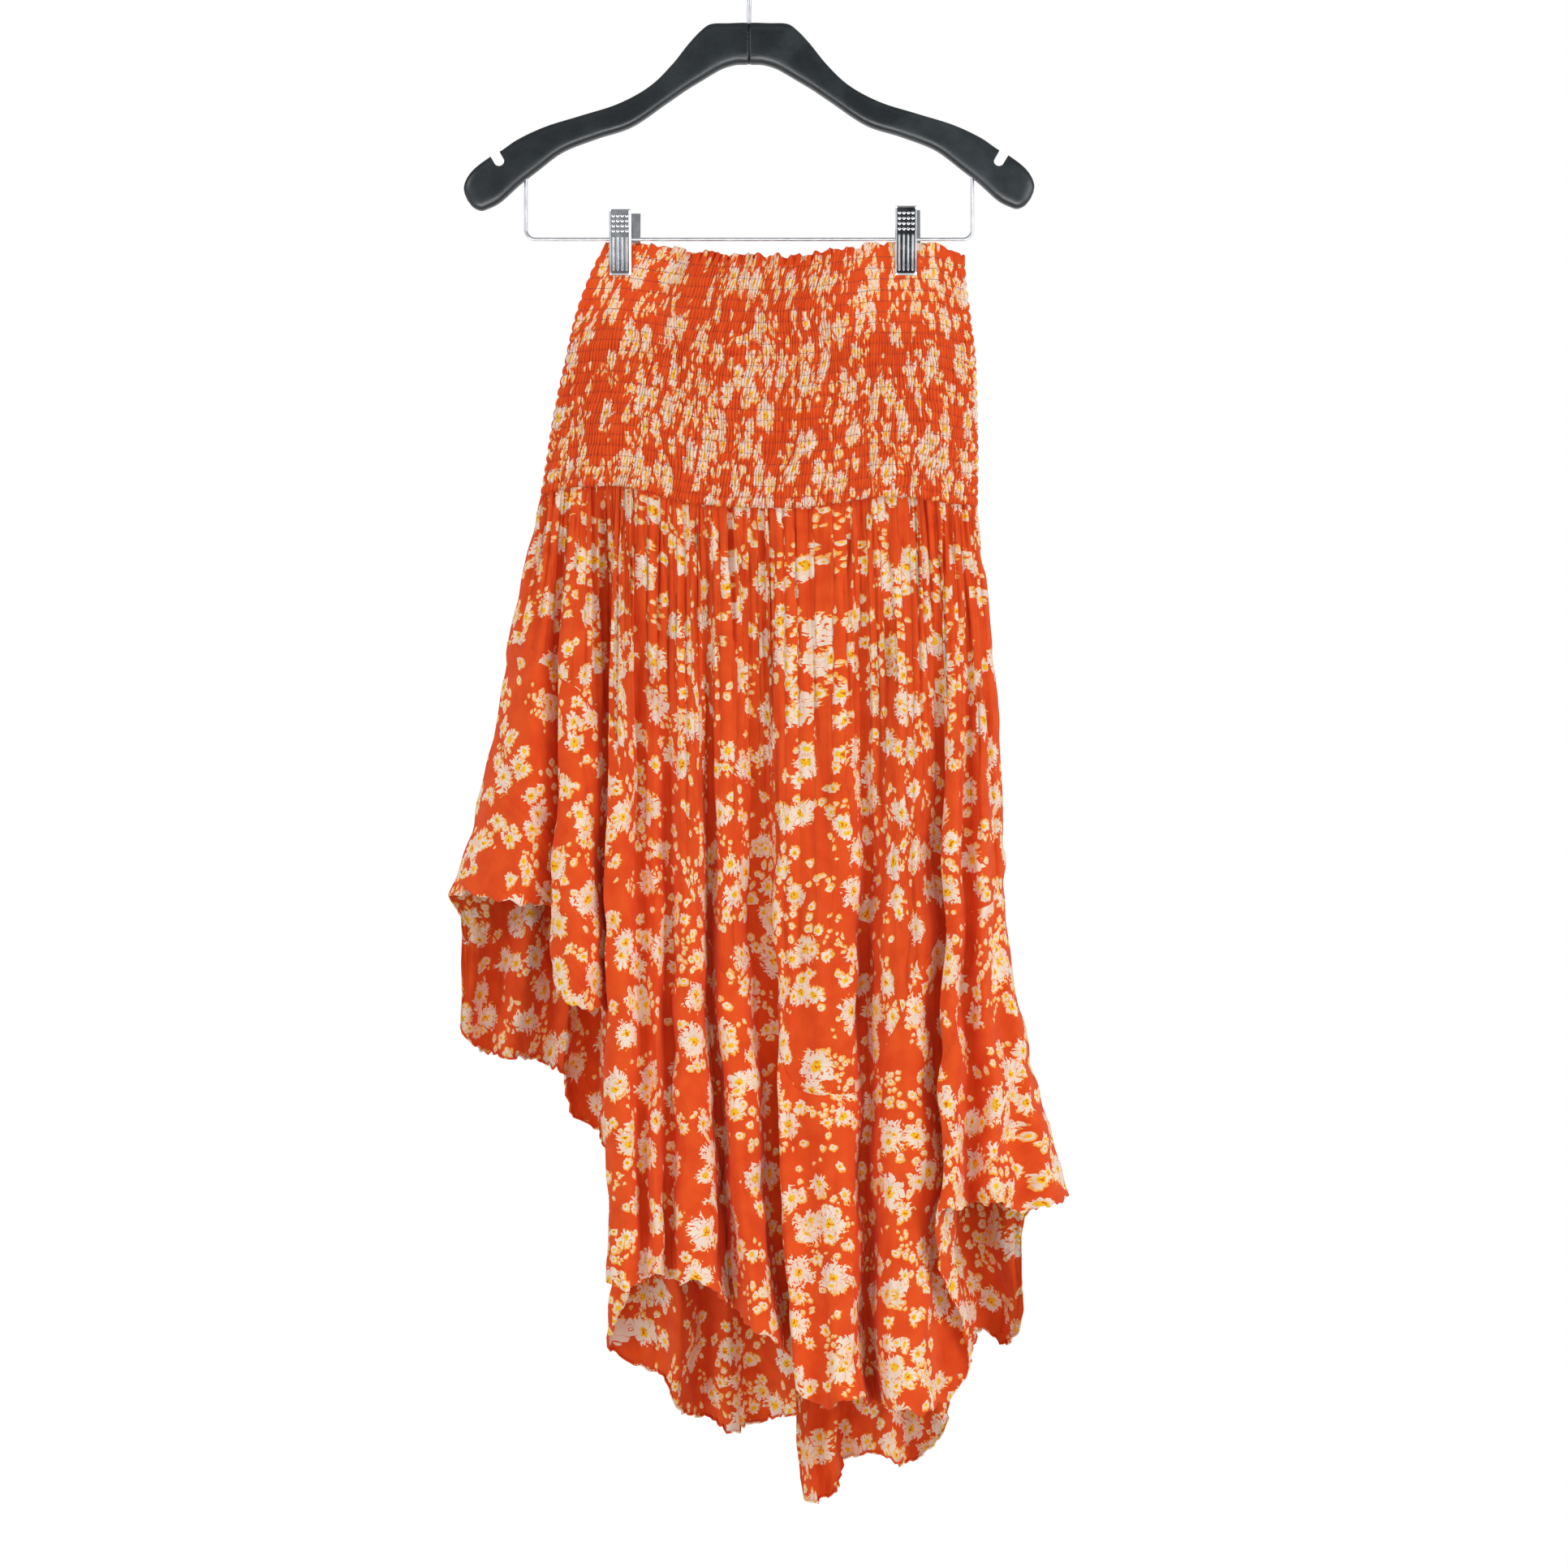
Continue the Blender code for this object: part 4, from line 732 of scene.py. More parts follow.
skirt = {
    "frontColumns": 450, "backColumns": 390, "levels": 88, "thickness": 0.45, "flatLevel": 0.8,
    "gatherHeight": 2.6, "gatherShare": 0.26, "gatherFade": 2.2, "sideBulge": (0.5, 5.0),
    "creases": 74, "creaseHeight": (0.8, 2.4), "creaseWidth": (2.5, 7.0), "creaseLength": (50.0, 420.0),
    "creaseSharpness": 0.9, "creaseDrift": 0.03, "creaseWander": 5.0, "creaseWave": 70.0,
    "ripple": 1.0, "rippleWave": (5.0, 90.0), "swell": 2.6, "swellWave": (11.0, 330.0),
    "pucker": 2.4, "puckerWave": (3.4, 30.0), "puckerReach": 110.0,
    "lineDepth": 2.6, "lineSpacing": 13.0, "lineLength": 260.0,
    "fineLineDepth": 2.0, "fineLineSpacing": 5.5, "fineLineLength": 90.0, "fineLineReach": 170.0,
    "pleatPitch": 13.0, "pleatStep": 2.0, "pleatStrength": 1.7, "pleatFade": 6.0,
    "slowSway": 9.0, "slowSwayWave": (31.0, 120.0), "quickSway": 5.0, "quickSwayWave": (13.0, 60.0),
    # Painted shade: strengths in grooves, valleys, at pleat edges and by the seam, with the depths and
    # reach that set the valleys' shade
    "lineShade": 0.45, "valleyShade": 0.45, "valleyDepths": (4.0, 18.0), "valleyReach": 28,
    "pleatShade": 0.35, "seamShade": 0.4, "seamCalm": 0.75, "sideColumns": 8.0,
    "turnRadius": 1.0, "turnLevels": 4, "lowRadius": 0.5, "lowLevels": 3, "lowStep": 0.6,
}
flounce = {
    "frontColumns": 400, "backColumns": 360, "levels": 56, "thickness": 0.45, "flarePower": 1.5,
    "tuck": 0.05, "tuckDepth": 0.9, "swell": 2.2, "swellWave": (26.0, 90.0),
    "lineDepth": 1.8, "lineSpacing": 15.0, "lineLength": 200.0,
    "crumple": 2.2, "crumpleWave": (13.0, 17.0),
    "slantCrumple": 3.0, "slantWave": (24.0, 36.0), "slant": 60.0,
    "hemRadius": 0.9, "hemLevels": 6, "hemStep": 0.75, "hemWave": 1.1, "hemWaveLength": 11.0,
    "hemRise": 9.0, "hemRiseWave": 31.0, "hemFray": 5.0, "hemFrayWave": 4.5,
}
# Sideways sway of the side seams and of the folds: reach, and lengths of its waves
sway = {
    "seamReach": 2.6, "leftWaves": (17.0, 46.0), "rightWaves": (15.0, 41.0), "seamColumns": 26.0,
    "slowReach": 8.0, "slowWaves": (46.0, 58.0), "quickReach": 3.5, "quickWaves": (22.0, 27.0),
    "start": 520.0, "growth": 300.0, "foldColumns": 20.0,
}


def foldLevels(folds, skirtShares, flounceShares):
    # Where the fold lines are at shares of the way down the skirt and then down the flounce:
    # x, depth and z, a row for each level. The skirt's depth eases, the flounce flares.
    lines = {name: np.array(values, float) for name, values in zip(foldColumns, zip(*folds))}
    xYoke, xSeam, xHem = lines["xYoke"], lines["xSeam"], lines["xHem"]
    share = (xYoke - xYoke[0]) / (xYoke[-1] - xYoke[0])
    total = yoke["header"] + yoke["rowPitch"] * yoke["rows"]
    depthYoke = yokeDepth(share, xYoke, np.ones(len(share)), np.full(len(share), total))
    depthYoke[[0, -1]] = yoke["edgeDepth"]
    zYoke = lineAt(yokeBottom, xYoke)
    left, right = skirt["sideBulge"]
    bulge = np.where(share < 0.5, -left, right) * np.abs(2.0 * share - 1.0) ** 2
    t = skirtShares[:, None]
    rows = [np.stack((
        xYoke + (xSeam - xYoke) * t + bulge * np.sin(math.pi * t),
        depthYoke + (lines["depthSeam"] - depthYoke) * ease(t),
        zYoke + (lines["zSeam"] - zYoke) * t), axis=-1)]
    t = flounceShares[:, None]
    rows.append(np.stack((
        xSeam + (xHem - xSeam) * np.sign(t) * np.abs(t) ** flounce["flarePower"],
        lines["depthSeam"] + (lines["depthHem"] - lines["depthSeam"]) * t,
        lines["zSeam"] + (lines["zHem"] - lines["zSeam"]) * t), axis=-1))
    return np.concatenate(rows)


def throughFolds(folded, cell, part):
    # Sections through the fold lines: x and depth are rounded, z never runs past its values.
    chords = np.hypot(np.diff(folded[..., 0], axis=1), np.diff(folded[..., 1], axis=1))
    start = np.zeros((len(folded), 1))
    knots = np.concatenate((start, np.cumsum(np.sqrt(chords), axis=1)), axis=1)
    x = cubicThrough(folded[..., 0], knots, cell, part)
    depth = cubicThrough(folded[..., 1], knots, cell, part)
    z = cubicThrough(folded[..., 2], knots, cell, part, steady=True)
    return np.stack((x, depth, z), axis=-1)


def evenColumns(folded, columns):
    # Cell and part for columns at even steps along one section of the cloth.
    fine = np.linspace(0.0, folded.shape[1] - 1.0, 24 * folded.shape[1])
    cell = np.minimum(fine.astype(int), folded.shape[1] - 2)
    section = throughFolds(folded, cell, fine - cell)[0]
    steps = np.hypot(np.diff(section[:, 0]), np.diff(section[:, 1])) + 0.25
    length = np.concatenate(([0.0], np.cumsum(steps)))
    at = np.interp(np.linspace(0.0, length[-1], columns), length, fine)
    cell = np.minimum(at.astype(int), folded.shape[1] - 2)
    return cell, at - cell


def lengthsAlong(grid, axis):
    # Distance along the cloth from the first point, by whole arrays.
    steps = np.linalg.norm(np.diff(grid, axis=axis), axis=-1)
    start = np.zeros_like(np.take(steps, [0], axis=axis))
    return np.concatenate((start, np.cumsum(steps, axis=axis)), axis=axis)


def unrolled(grid):
    # Lays the cloth out flat, strip by strip: each strip between two columns keeps its width at
    # the top, its slide along the columns and the small angle at which the columns part.
    down = grid[-1] - grid[0]
    down /= np.linalg.norm(down, axis=-1, keepdims=True)
    along = down[1:] + down[:-1]
    along /= np.linalg.norm(along, axis=-1, keepdims=True)
    step = np.diff(grid[0], axis=0)
    slide = np.sum(step * along, axis=-1)
    square = step - slide[:, None] * along
    width = np.linalg.norm(square, axis=-1)
    parting = np.sum(np.diff(down, axis=0) * square, axis=-1) / np.maximum(width, 1e-6)
    angle = np.concatenate(([0.0], np.cumsum(parting)))
    angle -= angle[len(angle) // 2]
    mean = 0.5 * (angle[1:] + angle[:-1])
    sine, cosine = np.sin(mean), np.cos(mean)
    steps = np.stack((width * cosine + slide * sine, width * sine - slide * cosine), axis=-1)
    start = np.concatenate((np.zeros((1, 2)), np.cumsum(steps, axis=0)))
    start -= start[len(start) // 2]
    heading = np.stack((np.sin(angle), -np.cos(angle)), axis=-1)
    return start[None] + lengthsAlong(grid, 0)[..., None] * heading[None]


def creaseField(u, v, seed):
    # Creases that start at the yoke: each is a step across the cloth, high on one side and low
    # on the other, that dies away on both sides and down its own length.
    chance = np.random.default_rng(seed)
    count = skirt["creases"]
    width = u.max() - u.min()
    starts = u.min() + width * (np.arange(count) + chance.random(count)) / count
    height = chance.uniform(*skirt["creaseHeight"], count) * np.sign(chance.random(count) - 0.5)
    reach = chance.uniform(*skirt["creaseWidth"], count)
    length = chance.uniform(*skirt["creaseLength"], count)
    drift = chance.uniform(-skirt["creaseDrift"], skirt["creaseDrift"], count)
    field = np.zeros_like(u)
    for index in range(count):
        wander = skirt["creaseWander"] * wobble(v / skirt["creaseWave"], v * 0.0 + index, seed + 5)
        off = u - starts[index] - drift[index] * v - wander
        step = np.tanh(off / skirt["creaseSharpness"]) * np.exp(-np.abs(off) / reach[index])
        field += height[index] * step * (1.0 - ease(v / length[index] - 0.35))
    return field


def shadowLines(u, v, spacing, length, seed):
    # Narrow grooves that run down the cloth where soft noise crosses its middle height, each
    # fading in and out on its way.
    crossing = 1.0 - np.abs(2.0 * patches(u / spacing, v / length, seed) - 1.0)
    strength = ease(2.6 * patches(u / (1.7 * spacing), v / (0.4 * length), seed + 1) - 0.8)
    return np.clip(crossing, 0.0, 1.0) ** 7 * strength


def sideWander(grid, edge):
    # The side seams sway a little; front and back share the same sway.
    z = grid[..., 2]

    def seamSway(waves, seed):
        quick, slow = waves
        return patches(z / quick, z * 0.0, seed) + 0.7 * patches(z / slow, z * 0.0, seed + 1) - 0.85

    left = seamSway(sway["leftWaves"], 71)
    right = seamSway(sway["rightWaves"], 73)
    fade = 1.0 - ease(edge / sway["seamColumns"])
    half = np.arange(grid.shape[1])[None, :] < grid.shape[1] // 2
    return sway["seamReach"] * fade * np.where(half, left, right)


def foldSway(grid, edge):
    # Folds wander sideways as they hang, more towards the hem; a function of the place alone, so
    # that skirt and flounce stay together.
    x, z = grid[..., 0], grid[..., 2]
    slowX, slowZ = sway["slowWaves"]
    quickX, quickZ = sway["quickWaves"]
    slow = sway["slowReach"] * wobble(x / slowX + 20.0, z / slowZ, 81)
    quick = sway["quickReach"] * wobble(x / quickX + 20.0, z / quickZ, 82)
    return (slow + quick) * ease((-z - sway["start"]) / sway["growth"]) * ease(edge / sway["foldColumns"])


def valleyShade(grid):
    # How far the cloth lies below its neighbourhood: the mean depth over a stretch of columns
    # less its own depth, from 0 to 1. It sets how much painted shade darkens the valleys.
    depth = grid[..., 1]
    reach = grid.shape[1] // skirt["valleyReach"]
    padded = np.pad(depth, ((0, 0), (reach + 1, reach)), mode="edge")
    total = np.cumsum(padded, axis=1)
    mean = (total[:, 2 * reach + 1:] - total[:, :-2 * reach - 1]) / (2 * reach + 1)
    first, full = skirt["valleyDepths"]
    return np.clip((mean - depth - first) / full, 0.0, 1.0)


def fromSides(columns):
    # How many columns lie between each column and the nearer side seam.
    return np.minimum(np.arange(columns), np.arange(columns)[::-1])[None, :]


def makeSkirt(name, folds, side, columns, seed):
    # Sections through the fold lines with creases, ripples, grooves and slanted pleats, as relief
    # square to the cloth that calms down towards the seam. A pleat hides a strip of the print.
    levels = np.linspace(0.0, 1.0, skirt["levels"]) ** 1.2
    folded = foldLevels(folds, levels, np.zeros(0))
    cell, part = evenColumns(folded[-1:], columns)
    grid = throughFolds(folded, cell, part)
    gaps = np.minimum(skirt["gatherHeight"], skirt["gatherShare"] * np.diff(folded[0, :, 0]))
    gathered = (np.sin(math.pi * part) * gaps[cell])[None, :]
    grid[..., 1] += gathered * (1.0 - levels[:, None]) ** skirt["gatherFade"]
    out = outwards(grid)
    flatRow = int(skirt["flatLevel"] * (len(levels) - 1))
    across = lengthsAlong(grid[flatRow:flatRow + 1], 1)
    across = across - across[:, -1:] * 0.5
    u = np.broadcast_to(across, grid.shape[:2])
    v = lengthsAlong(grid, 0)
    edge = fromSides(columns)
    inner = ease(edge / skirt["sideColumns"])

    def waves(lengths, shift):
        return wobble(u / lengths[0], v / lengths[1], seed + shift)

    relief = creaseField(u, v, seed) + skirt["ripple"] * waves(skirt["rippleWave"], 9)
    relief = relief + skirt["swell"] * waves(skirt["swellWave"], 10) * ease(v / 40.0)
    lines = shadowLines(u, v, skirt["lineSpacing"], skirt["lineLength"], seed + 11)
    fineLines = shadowLines(u, v, skirt["fineLineSpacing"], skirt["fineLineLength"], seed + 14)
    fineLines = fineLines * (1.0 - ease(v / skirt["fineLineReach"]))
    relief = relief - skirt["lineDepth"] * lines - skirt["fineLineDepth"] * fineLines
    puckers = waves(skirt["puckerWave"], 8) * (1.0 - ease(v / skirt["puckerReach"]))
    relief = relief + skirt["pucker"] * puckers
    hidden = np.clip(1.0 - lengthsAlong(grid, 1)[:, -1:] / -across[:, :1] * 0.5, 0.0, 0.6)
    moved = u + skirt["slowSway"] * (waves(skirt["slowSwayWave"], 16) + 0.5)
    moved = moved + skirt["quickSway"] * (waves(skirt["quickSwayWave"], 17) + 0.5)
    number = np.floor(moved / skirt["pleatPitch"])
    pleat = moved / skirt["pleatPitch"] - number
    strength = patches(number * 1.37, v / 110.0, seed + 18) * np.minimum(2.5 * hidden, 1.0)
    strength = strength * skirt["pleatStrength"]
    relief = relief + skirt["pleatStep"] * (pleat - 0.5) * strength * ease(v / 12.0)
    relief = relief * (1.0 - skirt["seamCalm"] * ease((levels[:, None] - 0.9) / 0.1))
    grid = grid + out * (relief * inner)[..., None]
    # Painted shade: a dark line at the low side of each pleat, darker grooves and valleys, and a dark band
    # by the seam at the top; none on the curled lower edge.
    shade = skirt["pleatShade"] * np.exp(-pleat * skirt["pleatFade"]) * strength
    shade = shade + skirt["lineShade"] * (lines + fineLines)
    shade = shade + skirt["valleyShade"] * valleyShade(grid) + skirt["seamShade"] * (1.0 - ease(v / 4.0))
    seamShade = np.full((skirt["turnLevels"], columns), skirt["seamShade"])
    shade = np.concatenate((seamShade, shade * inner, np.zeros((skirt["lowLevels"], columns))))
    grid[..., 0] += sideWander(grid, edge) * ease(v / 20.0) + foldSway(grid, edge)
    grid[..., 1] = np.maximum(grid[..., 1], yoke["edgeDepth"])
    grid[0, :, 2] -= 0.3
    top = turnUnder(grid[0], out[0], skirt["turnRadius"], skirt["turnLevels"], 1.0)[::-1]
    low = turnUnder(grid[-1], out[-1], skirt["lowRadius"], skirt["lowLevels"], -1.0)
    whole = np.concatenate((top, grid, low))
    before = v[:1] - np.arange(skirt["turnLevels"], 0, -1)[:, None]
    after = v[-1:] + skirt["lowStep"] * np.arange(1, skirt["lowLevels"] + 1)[:, None]
    downs = (before, v, after)
    acrosses = np.broadcast_to(across, whole.shape[:2]).copy()
    acrosses[skirt["turnLevels"]:-skirt["lowLevels"]] += hidden * skirt["pleatPitch"] * (0.5 - pleat)
    uv = np.stack((acrosses, np.concatenate(downs) * -side), axis=-1)
    makeCloth(name, whole, side, skirtCloth, uv, shade, skirt["thickness"])


def makeFlounce(name, folds, side, columns, seed):
    # Sections through the fold lines, flared and crumpled, with a small wave along the curled hem.
    # The print lies on the cloth as it unrolls before the crumples.
    levels = 1.0 - (1.0 - np.linspace(0.0, 1.0, flounce["levels"])) ** 1.25
    levels = np.concatenate(([-flounce["tuck"], -0.5 * flounce["tuck"]], levels))
    folded = foldLevels(folds, np.zeros(0), levels)
    cell, part = evenColumns(folded[-1:], columns)
    grid = throughFolds(folded, cell, part)
    flat = unrolled(grid)
    last = flat[-1] - flat[-2]
    last /= np.linalg.norm(last, axis=-1, keepdims=True)
    hemSteps = flounce["hemStep"] * np.arange(1, flounce["hemLevels"] + 1)[:, None, None]
    uv = np.concatenate((flat, flat[-1] + last * hemSteps)) * np.array((1.0, -side))
    out = outwards(grid)
    across = lengthsAlong(grid, 1)
    across = across - across[:, columns // 2:columns // 2 + 1]
    v = lengthsAlong(grid, 0)
    t = np.clip(levels, 0.0, 1.0)[:, None]
    edge = fromSides(columns)
    inner = ease(edge / skirt["sideColumns"])

    def waves(lengths, shift, slant=0.0):
        return wobble(across / lengths[0] + v * slant, v / lengths[1], seed + shift)

    def hemNoise(length, shift):
        return patches(across / length, v * 0.0, seed + shift)

    swell = flounce["swell"] * waves(flounce["swellWave"], 0) * ease(2.5 * t)
    lively = hemNoise(40.0, 1)
    wave = np.sin(2.0 * math.pi * (across / flounce["hemWaveLength"] + 2.0 * lively))
    lettuce = flounce["hemWave"] * (0.3 + lively) * wave * t ** 9
    lines = shadowLines(across, v, flounce["lineSpacing"], flounce["lineLength"], seed + 6)
    lines = lines * flounce["lineDepth"] * (1.0 - 0.5 * t)
    crumple = flounce["crumple"] * waves(flounce["crumpleWave"], 8)
    crumple = crumple + flounce["slantCrumple"] * waves(flounce["slantWave"], 9, 1.0 / flounce["slant"])
    relief = (swell + lettuce + crumple * ease(1.5 * t) - lines * ease(6.0 * t)) * inner
    relief[:2] -= flounce["tuckDepth"]
    grid = grid + out * relief[..., None]
    grid[..., 0] += sideWander(grid, edge) + foldSway(grid, edge)
    grid[..., 1] = np.maximum(grid[..., 1], yoke["edgeDepth"])
    grid[..., 2] += (hemNoise(flounce["hemRiseWave"], 4) - 0.5) * flounce["hemRise"] * t ** 4 * inner
    grid[..., 2] += (hemNoise(flounce["hemFrayWave"], 2) - 0.5) * flounce["hemFray"] * t ** 12 * inner
    # Painted shade: darker grooves and valleys; none on the curled hem.
    shade = skirt["lineShade"] * 0.5 * lines + skirt["valleyShade"] * valleyShade(grid)
    shade = np.concatenate((shade * inner, np.zeros((flounce["hemLevels"], columns))))
    hem = turnUnder(grid[-1], out[-1], flounce["hemRadius"], flounce["hemLevels"], -1.0)
    whole = np.concatenate((grid, hem))
    thickness = flounce["thickness"]
    makeCloth(name, whole, side, flounceCloth, uv, shade, thickness)


makeSkirt("skirt_front", frontFolds, -1.0, skirt["frontColumns"], 101)
makeSkirt("skirt_back", backFolds, 1.0, skirt["backColumns"], 131)
makeFlounce("flounce_front", frontFolds, -1.0, flounce["frontColumns"], 161)
makeFlounce("flounce_back", backFolds, 1.0, flounce["backColumns"], 191)
print("skirt and flounce ready")

# Hanger, hook and bar

# Sections of the right arm from the middle outwards: x and z of the upper and of the lower edge,
# share of thickness
armSections = (
    (0.02, -85.5, 0.02, -114.5, 0.93), (1.4, -85, 1.4, -115, 1),
    (15, -85.2, 10, -115.4, 1), (29, -86, 20, -118.4, 1),
    (36, -91, 27, -122.2, 1), (45, -100.6, 34, -126.4, 0.97),
    (57, -115.6, 46, -133.6, 0.95), (73.2, -131.2, 61, -143.8, 0.93),
    (96, -143.8, 86, -160.6, 0.93), (124.2, -152.8, 113, -169.6, 0.93),
    (151.2, -161.2, 138, -179.6, 0.93), (171.6, -170.8, 156, -193, 0.95),
    (183, -178.6, 170, -204, 0.97), (193, -184.4, 183, -215.8, 0.97),
    (204, -193, 192.5, -221, 0.92), (209, -200, 198.5, -222.6, 0.82),
    (210.8, -206, 204, -220.2, 0.6), (210.2, -210.5, 208, -215.5, 0.3),
)
arm = {
    "halfThickness": 7.5, "roundness": 3.6, "ringPoints": 60, "steps": 9, "sharp": 40.0,
    "notchWidth": 7.6, "notchBottom": (184.3, -187.8), "notchTilt": 30.0, "notchLength": 30.0,
    "notchSteps": 14, "notchDepth": 12.0, "lean": 0.7, "leanWidth": 120.0,
}
hook = {
    "radius": 1.5, "sides": 20, "innerRadius": 21.0, "arcStart": -42.0, "arcEnd": 196.0, "arcSteps": 60,
    "leadIn": ((0.0, -97.0), (0.0, -84.0), (0.0, -74.0), (0.6, -66.0), (4.0, -57.0), (10.5, -47.5)),
    "tip": ((-22.6, -32.0), (-24.6, -36.6)),
}
bar = {
    "radius": 1.3, "sides": 20, "height": -244.6, "halfWidth": 165.0, "top": -191.0,
    "cornerRadius": 7.0, "cornerSteps": 14, "upright": 20.0, "stops": (120.0, 40.0),
}


def smoothThrough(rows, steps):
    # A rounded curve through rows of values, with even steps between each row and the next.
    rows = np.array(rows, float)
    chords = np.linalg.norm(np.diff(rows[:, :2], axis=0), axis=1) + 0.5
    knots = np.concatenate(([0.0], np.cumsum(np.sqrt(chords))))
    at = np.linspace(0.0, len(rows) - 1.0, (len(rows) - 1) * steps + 1)
    cell = np.minimum(at.astype(int), len(rows) - 2)
    curves = [cubicThrough(values[None, :], knots[None, :], cell, at - cell)[0] for values in rows.T]
    return np.stack(curves, axis=-1)


def fitPiece(node):
    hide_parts(node)


def joinParts(parts):
    # Several sets of points and faces as one.
    points = []
    faces = []
    start = 0
    for partPoints, partFaces in parts:
        partPoints = partPoints.reshape(-1, 3)
        points.append(partPoints)
        faces += [[corner + start for corner in face] for face in partFaces]
        start += len(partPoints)
    return np.concatenate(points), faces


def prism(outline, low, high):
    # A straight prism along X with an outline of (y, z) corners.
    outline = np.array(outline, float)
    count = len(outline)
    ends = [np.column_stack((np.full(count, x), outline)) for x in (low, high)]
    return np.concatenate(ends), tubeFaces(1, 2, count)


def makeArm(node, side):
    # A loft through the sections: each ring is a superellipse from the upper to the lower edge.
    rows = smoothThrough(armSections, arm["steps"])
    upper, lower = rows[:, None, 0:2], rows[:, None, 2:4]
    turn = 2.0 * math.pi * np.arange(arm["ringPoints"]) / arm["ringPoints"]
    power = 2.0 / arm["roundness"]
    up = (np.sign(np.cos(turn)) * np.abs(np.cos(turn)) ** power)[None, :, None]
    out = (np.sign(np.sin(turn)) * np.abs(np.sin(turn)) ** power)[None, :]
    place = 0.5 * (upper + lower) + 0.5 * (upper - lower) * up
    depth = arm["halfThickness"] * rows[:, 4:5] * out
    lean = side * arm["lean"] * ease(place[..., 0] / arm["leanWidth"])
    points = np.stack((side * place[..., 0], depth, place[..., 1] + lean), axis=-1)
    faces = tubeFaces(1, *points.shape[:2])
    if side > 0:
        faces = turnedFaces(faces)
    piece = makePiece(node + "_wrap", points, faces, hangerWrap)
    cutNotch(piece, side)
    fitPiece(node)


def cutNotch(piece, side):
    # Cuts a slot with a round bottom, open at the top, through the arm's upper edge.
    half = 0.5 * arm["notchWidth"]
    angle = math.pi + math.pi * np.arange(arm["notchSteps"] + 1) / arm["notchSteps"]
    across = np.concatenate(([half, -half], half * np.cos(angle)))
    up = np.concatenate(([arm["notchLength"]] * 2, half * np.sin(angle)))
    tilt = math.radians(arm["notchTilt"])
    x = side * (arm["notchBottom"][0] + across * math.cos(tilt) + up * math.sin(tilt))
    z = arm["notchBottom"][1] - across * math.sin(tilt) + up * math.cos(tilt)
    count = len(across)
    ends = [np.column_stack((x, np.full(count, y), z)) for y in (-arm["notchDepth"], arm["notchDepth"])]
    faces = tubeFaces(1, 2, count)
    if side < 0:
        faces = turnedFaces(faces)
    mesh = bpy.data.meshes.new("notch")
    mesh.from_pydata((np.concatenate(ends) * mm).tolist(), [], faces)
    cutter = addObject("notch", mesh)
    cut = piece.modifiers.new("notch", "BOOLEAN")
    cut.operation = "DIFFERENCE"
    cut.solver = "EXACT"
    cut.object = cutter
    graph = bpy.context.evaluated_depsgraph_get()
    piece.data = bpy.data.meshes.new_from_object(piece.evaluated_get(graph))
    piece.modifiers.clear()
    piece.data.set_sharp_from_angle(angle=math.radians(arm["sharp"]))
    bpy.data.objects.remove(cutter)


def makeWire(node, path, settings):
    # Round wire along a path of (x, z) points.
    path = np.array(path, float)
    points = np.stack((path[:, 0], np.zeros(len(path)), path[:, 1]), axis=-1)[None]
    rings = tubes(points, settings["radius"], settings["sides"], np.array((0.0, -1.0, 0.0)))
    piece = makePiece(node + "_wire", rings, tubeFaces(*rings.shape[:3]), wireChrome, sharp=50.0)
    fitPiece(node)


def makeHook():
    # The curved lead out of the hanger, the round crown and the short tip.
    lead = smoothThrough(hook["leadIn"], 6)
    angle = np.radians(np.linspace(hook["arcStart"], hook["arcEnd"], hook["arcSteps"] + 1))
    radius = hook["innerRadius"] + hook["radius"]
    middle = hook["radius"] - radius
    arc = np.stack((radius * np.cos(angle), middle + radius * np.sin(angle)), axis=-1)
    makeWire("hook", np.concatenate((lead, arc, np.array(hook["tip"]))), hook)


def makeBar():
    # Down from the right arm, round the corner, along to the middle, and the same for the left.
    radius = bar["cornerRadius"]
    angle = -0.5 * math.pi * np.arange(bar["cornerSteps"] + 1) / bar["cornerSteps"]
    corner = np.stack((bar["halfWidth"] - radius + radius * np.cos(angle),
                       bar["height"] + radius + radius * np.sin(angle)), axis=-1)
    upright = [(bar["halfWidth"], bar["top"] - drop) for drop in (0.0, bar["upright"])]
    level = [(stop, bar["height"]) for stop in bar["stops"]]
    right = np.concatenate((upright, corner, level))
    left = right[::-1] * np.array((-1.0, 1.0))
    makeWire("bar", np.concatenate((right, left)), bar)


makeArm("hanger_arm_left", -1.0)
makeArm("hanger_arm_right", 1.0)
makeHook()
makeBar()
print("hanger ready")

# Clips

clip = {
    "halfWidth": 8.0, "height": 50.0, "plate": 1.2, "chamfer": 1.3, "chamferDrop": 0.85, "sharp": 24.0,
    "levels": 44, "columns": 9, "ribs": 4, "ribRadius": 1.05, "ribSunk": 0.35, "ribPitch": 3.3,
    "ribStart": 2.6, "ribEnd": 30.4, "ribTaper": 1.2, "ribRings": 20, "ribSides": 12,
    "dots": 4, "dotRadius": 1.3, "dotHeight": 0.6, "dotSunk": 0.1, "dotStart": 33.5, "dotPitch": 3.8,
    "dotRings": 5, "dotSides": 14,
    "earThickness": 0.8, "earInset": 0.2, "earTop": 6.0, "earBottom": -1.4, "earGap": 0.4, "earSlope": 1.5,
    "skew": {"left": 6.5, "right": 3.0}, "short": {"left": 0.95, "right": 1.0},
    "springLength": 12.0, "springRadius": 2.3, "springWire": 0.58, "springTurns": 8.5,
    "springRings": 200, "springSides": 8,
}
# Depth of a jaw's inner face at heights above its lower end
jawProfile = ((0.0, 2.2), (7.0, 2.2), (26.4, 5.2), (50.0, 9.4))


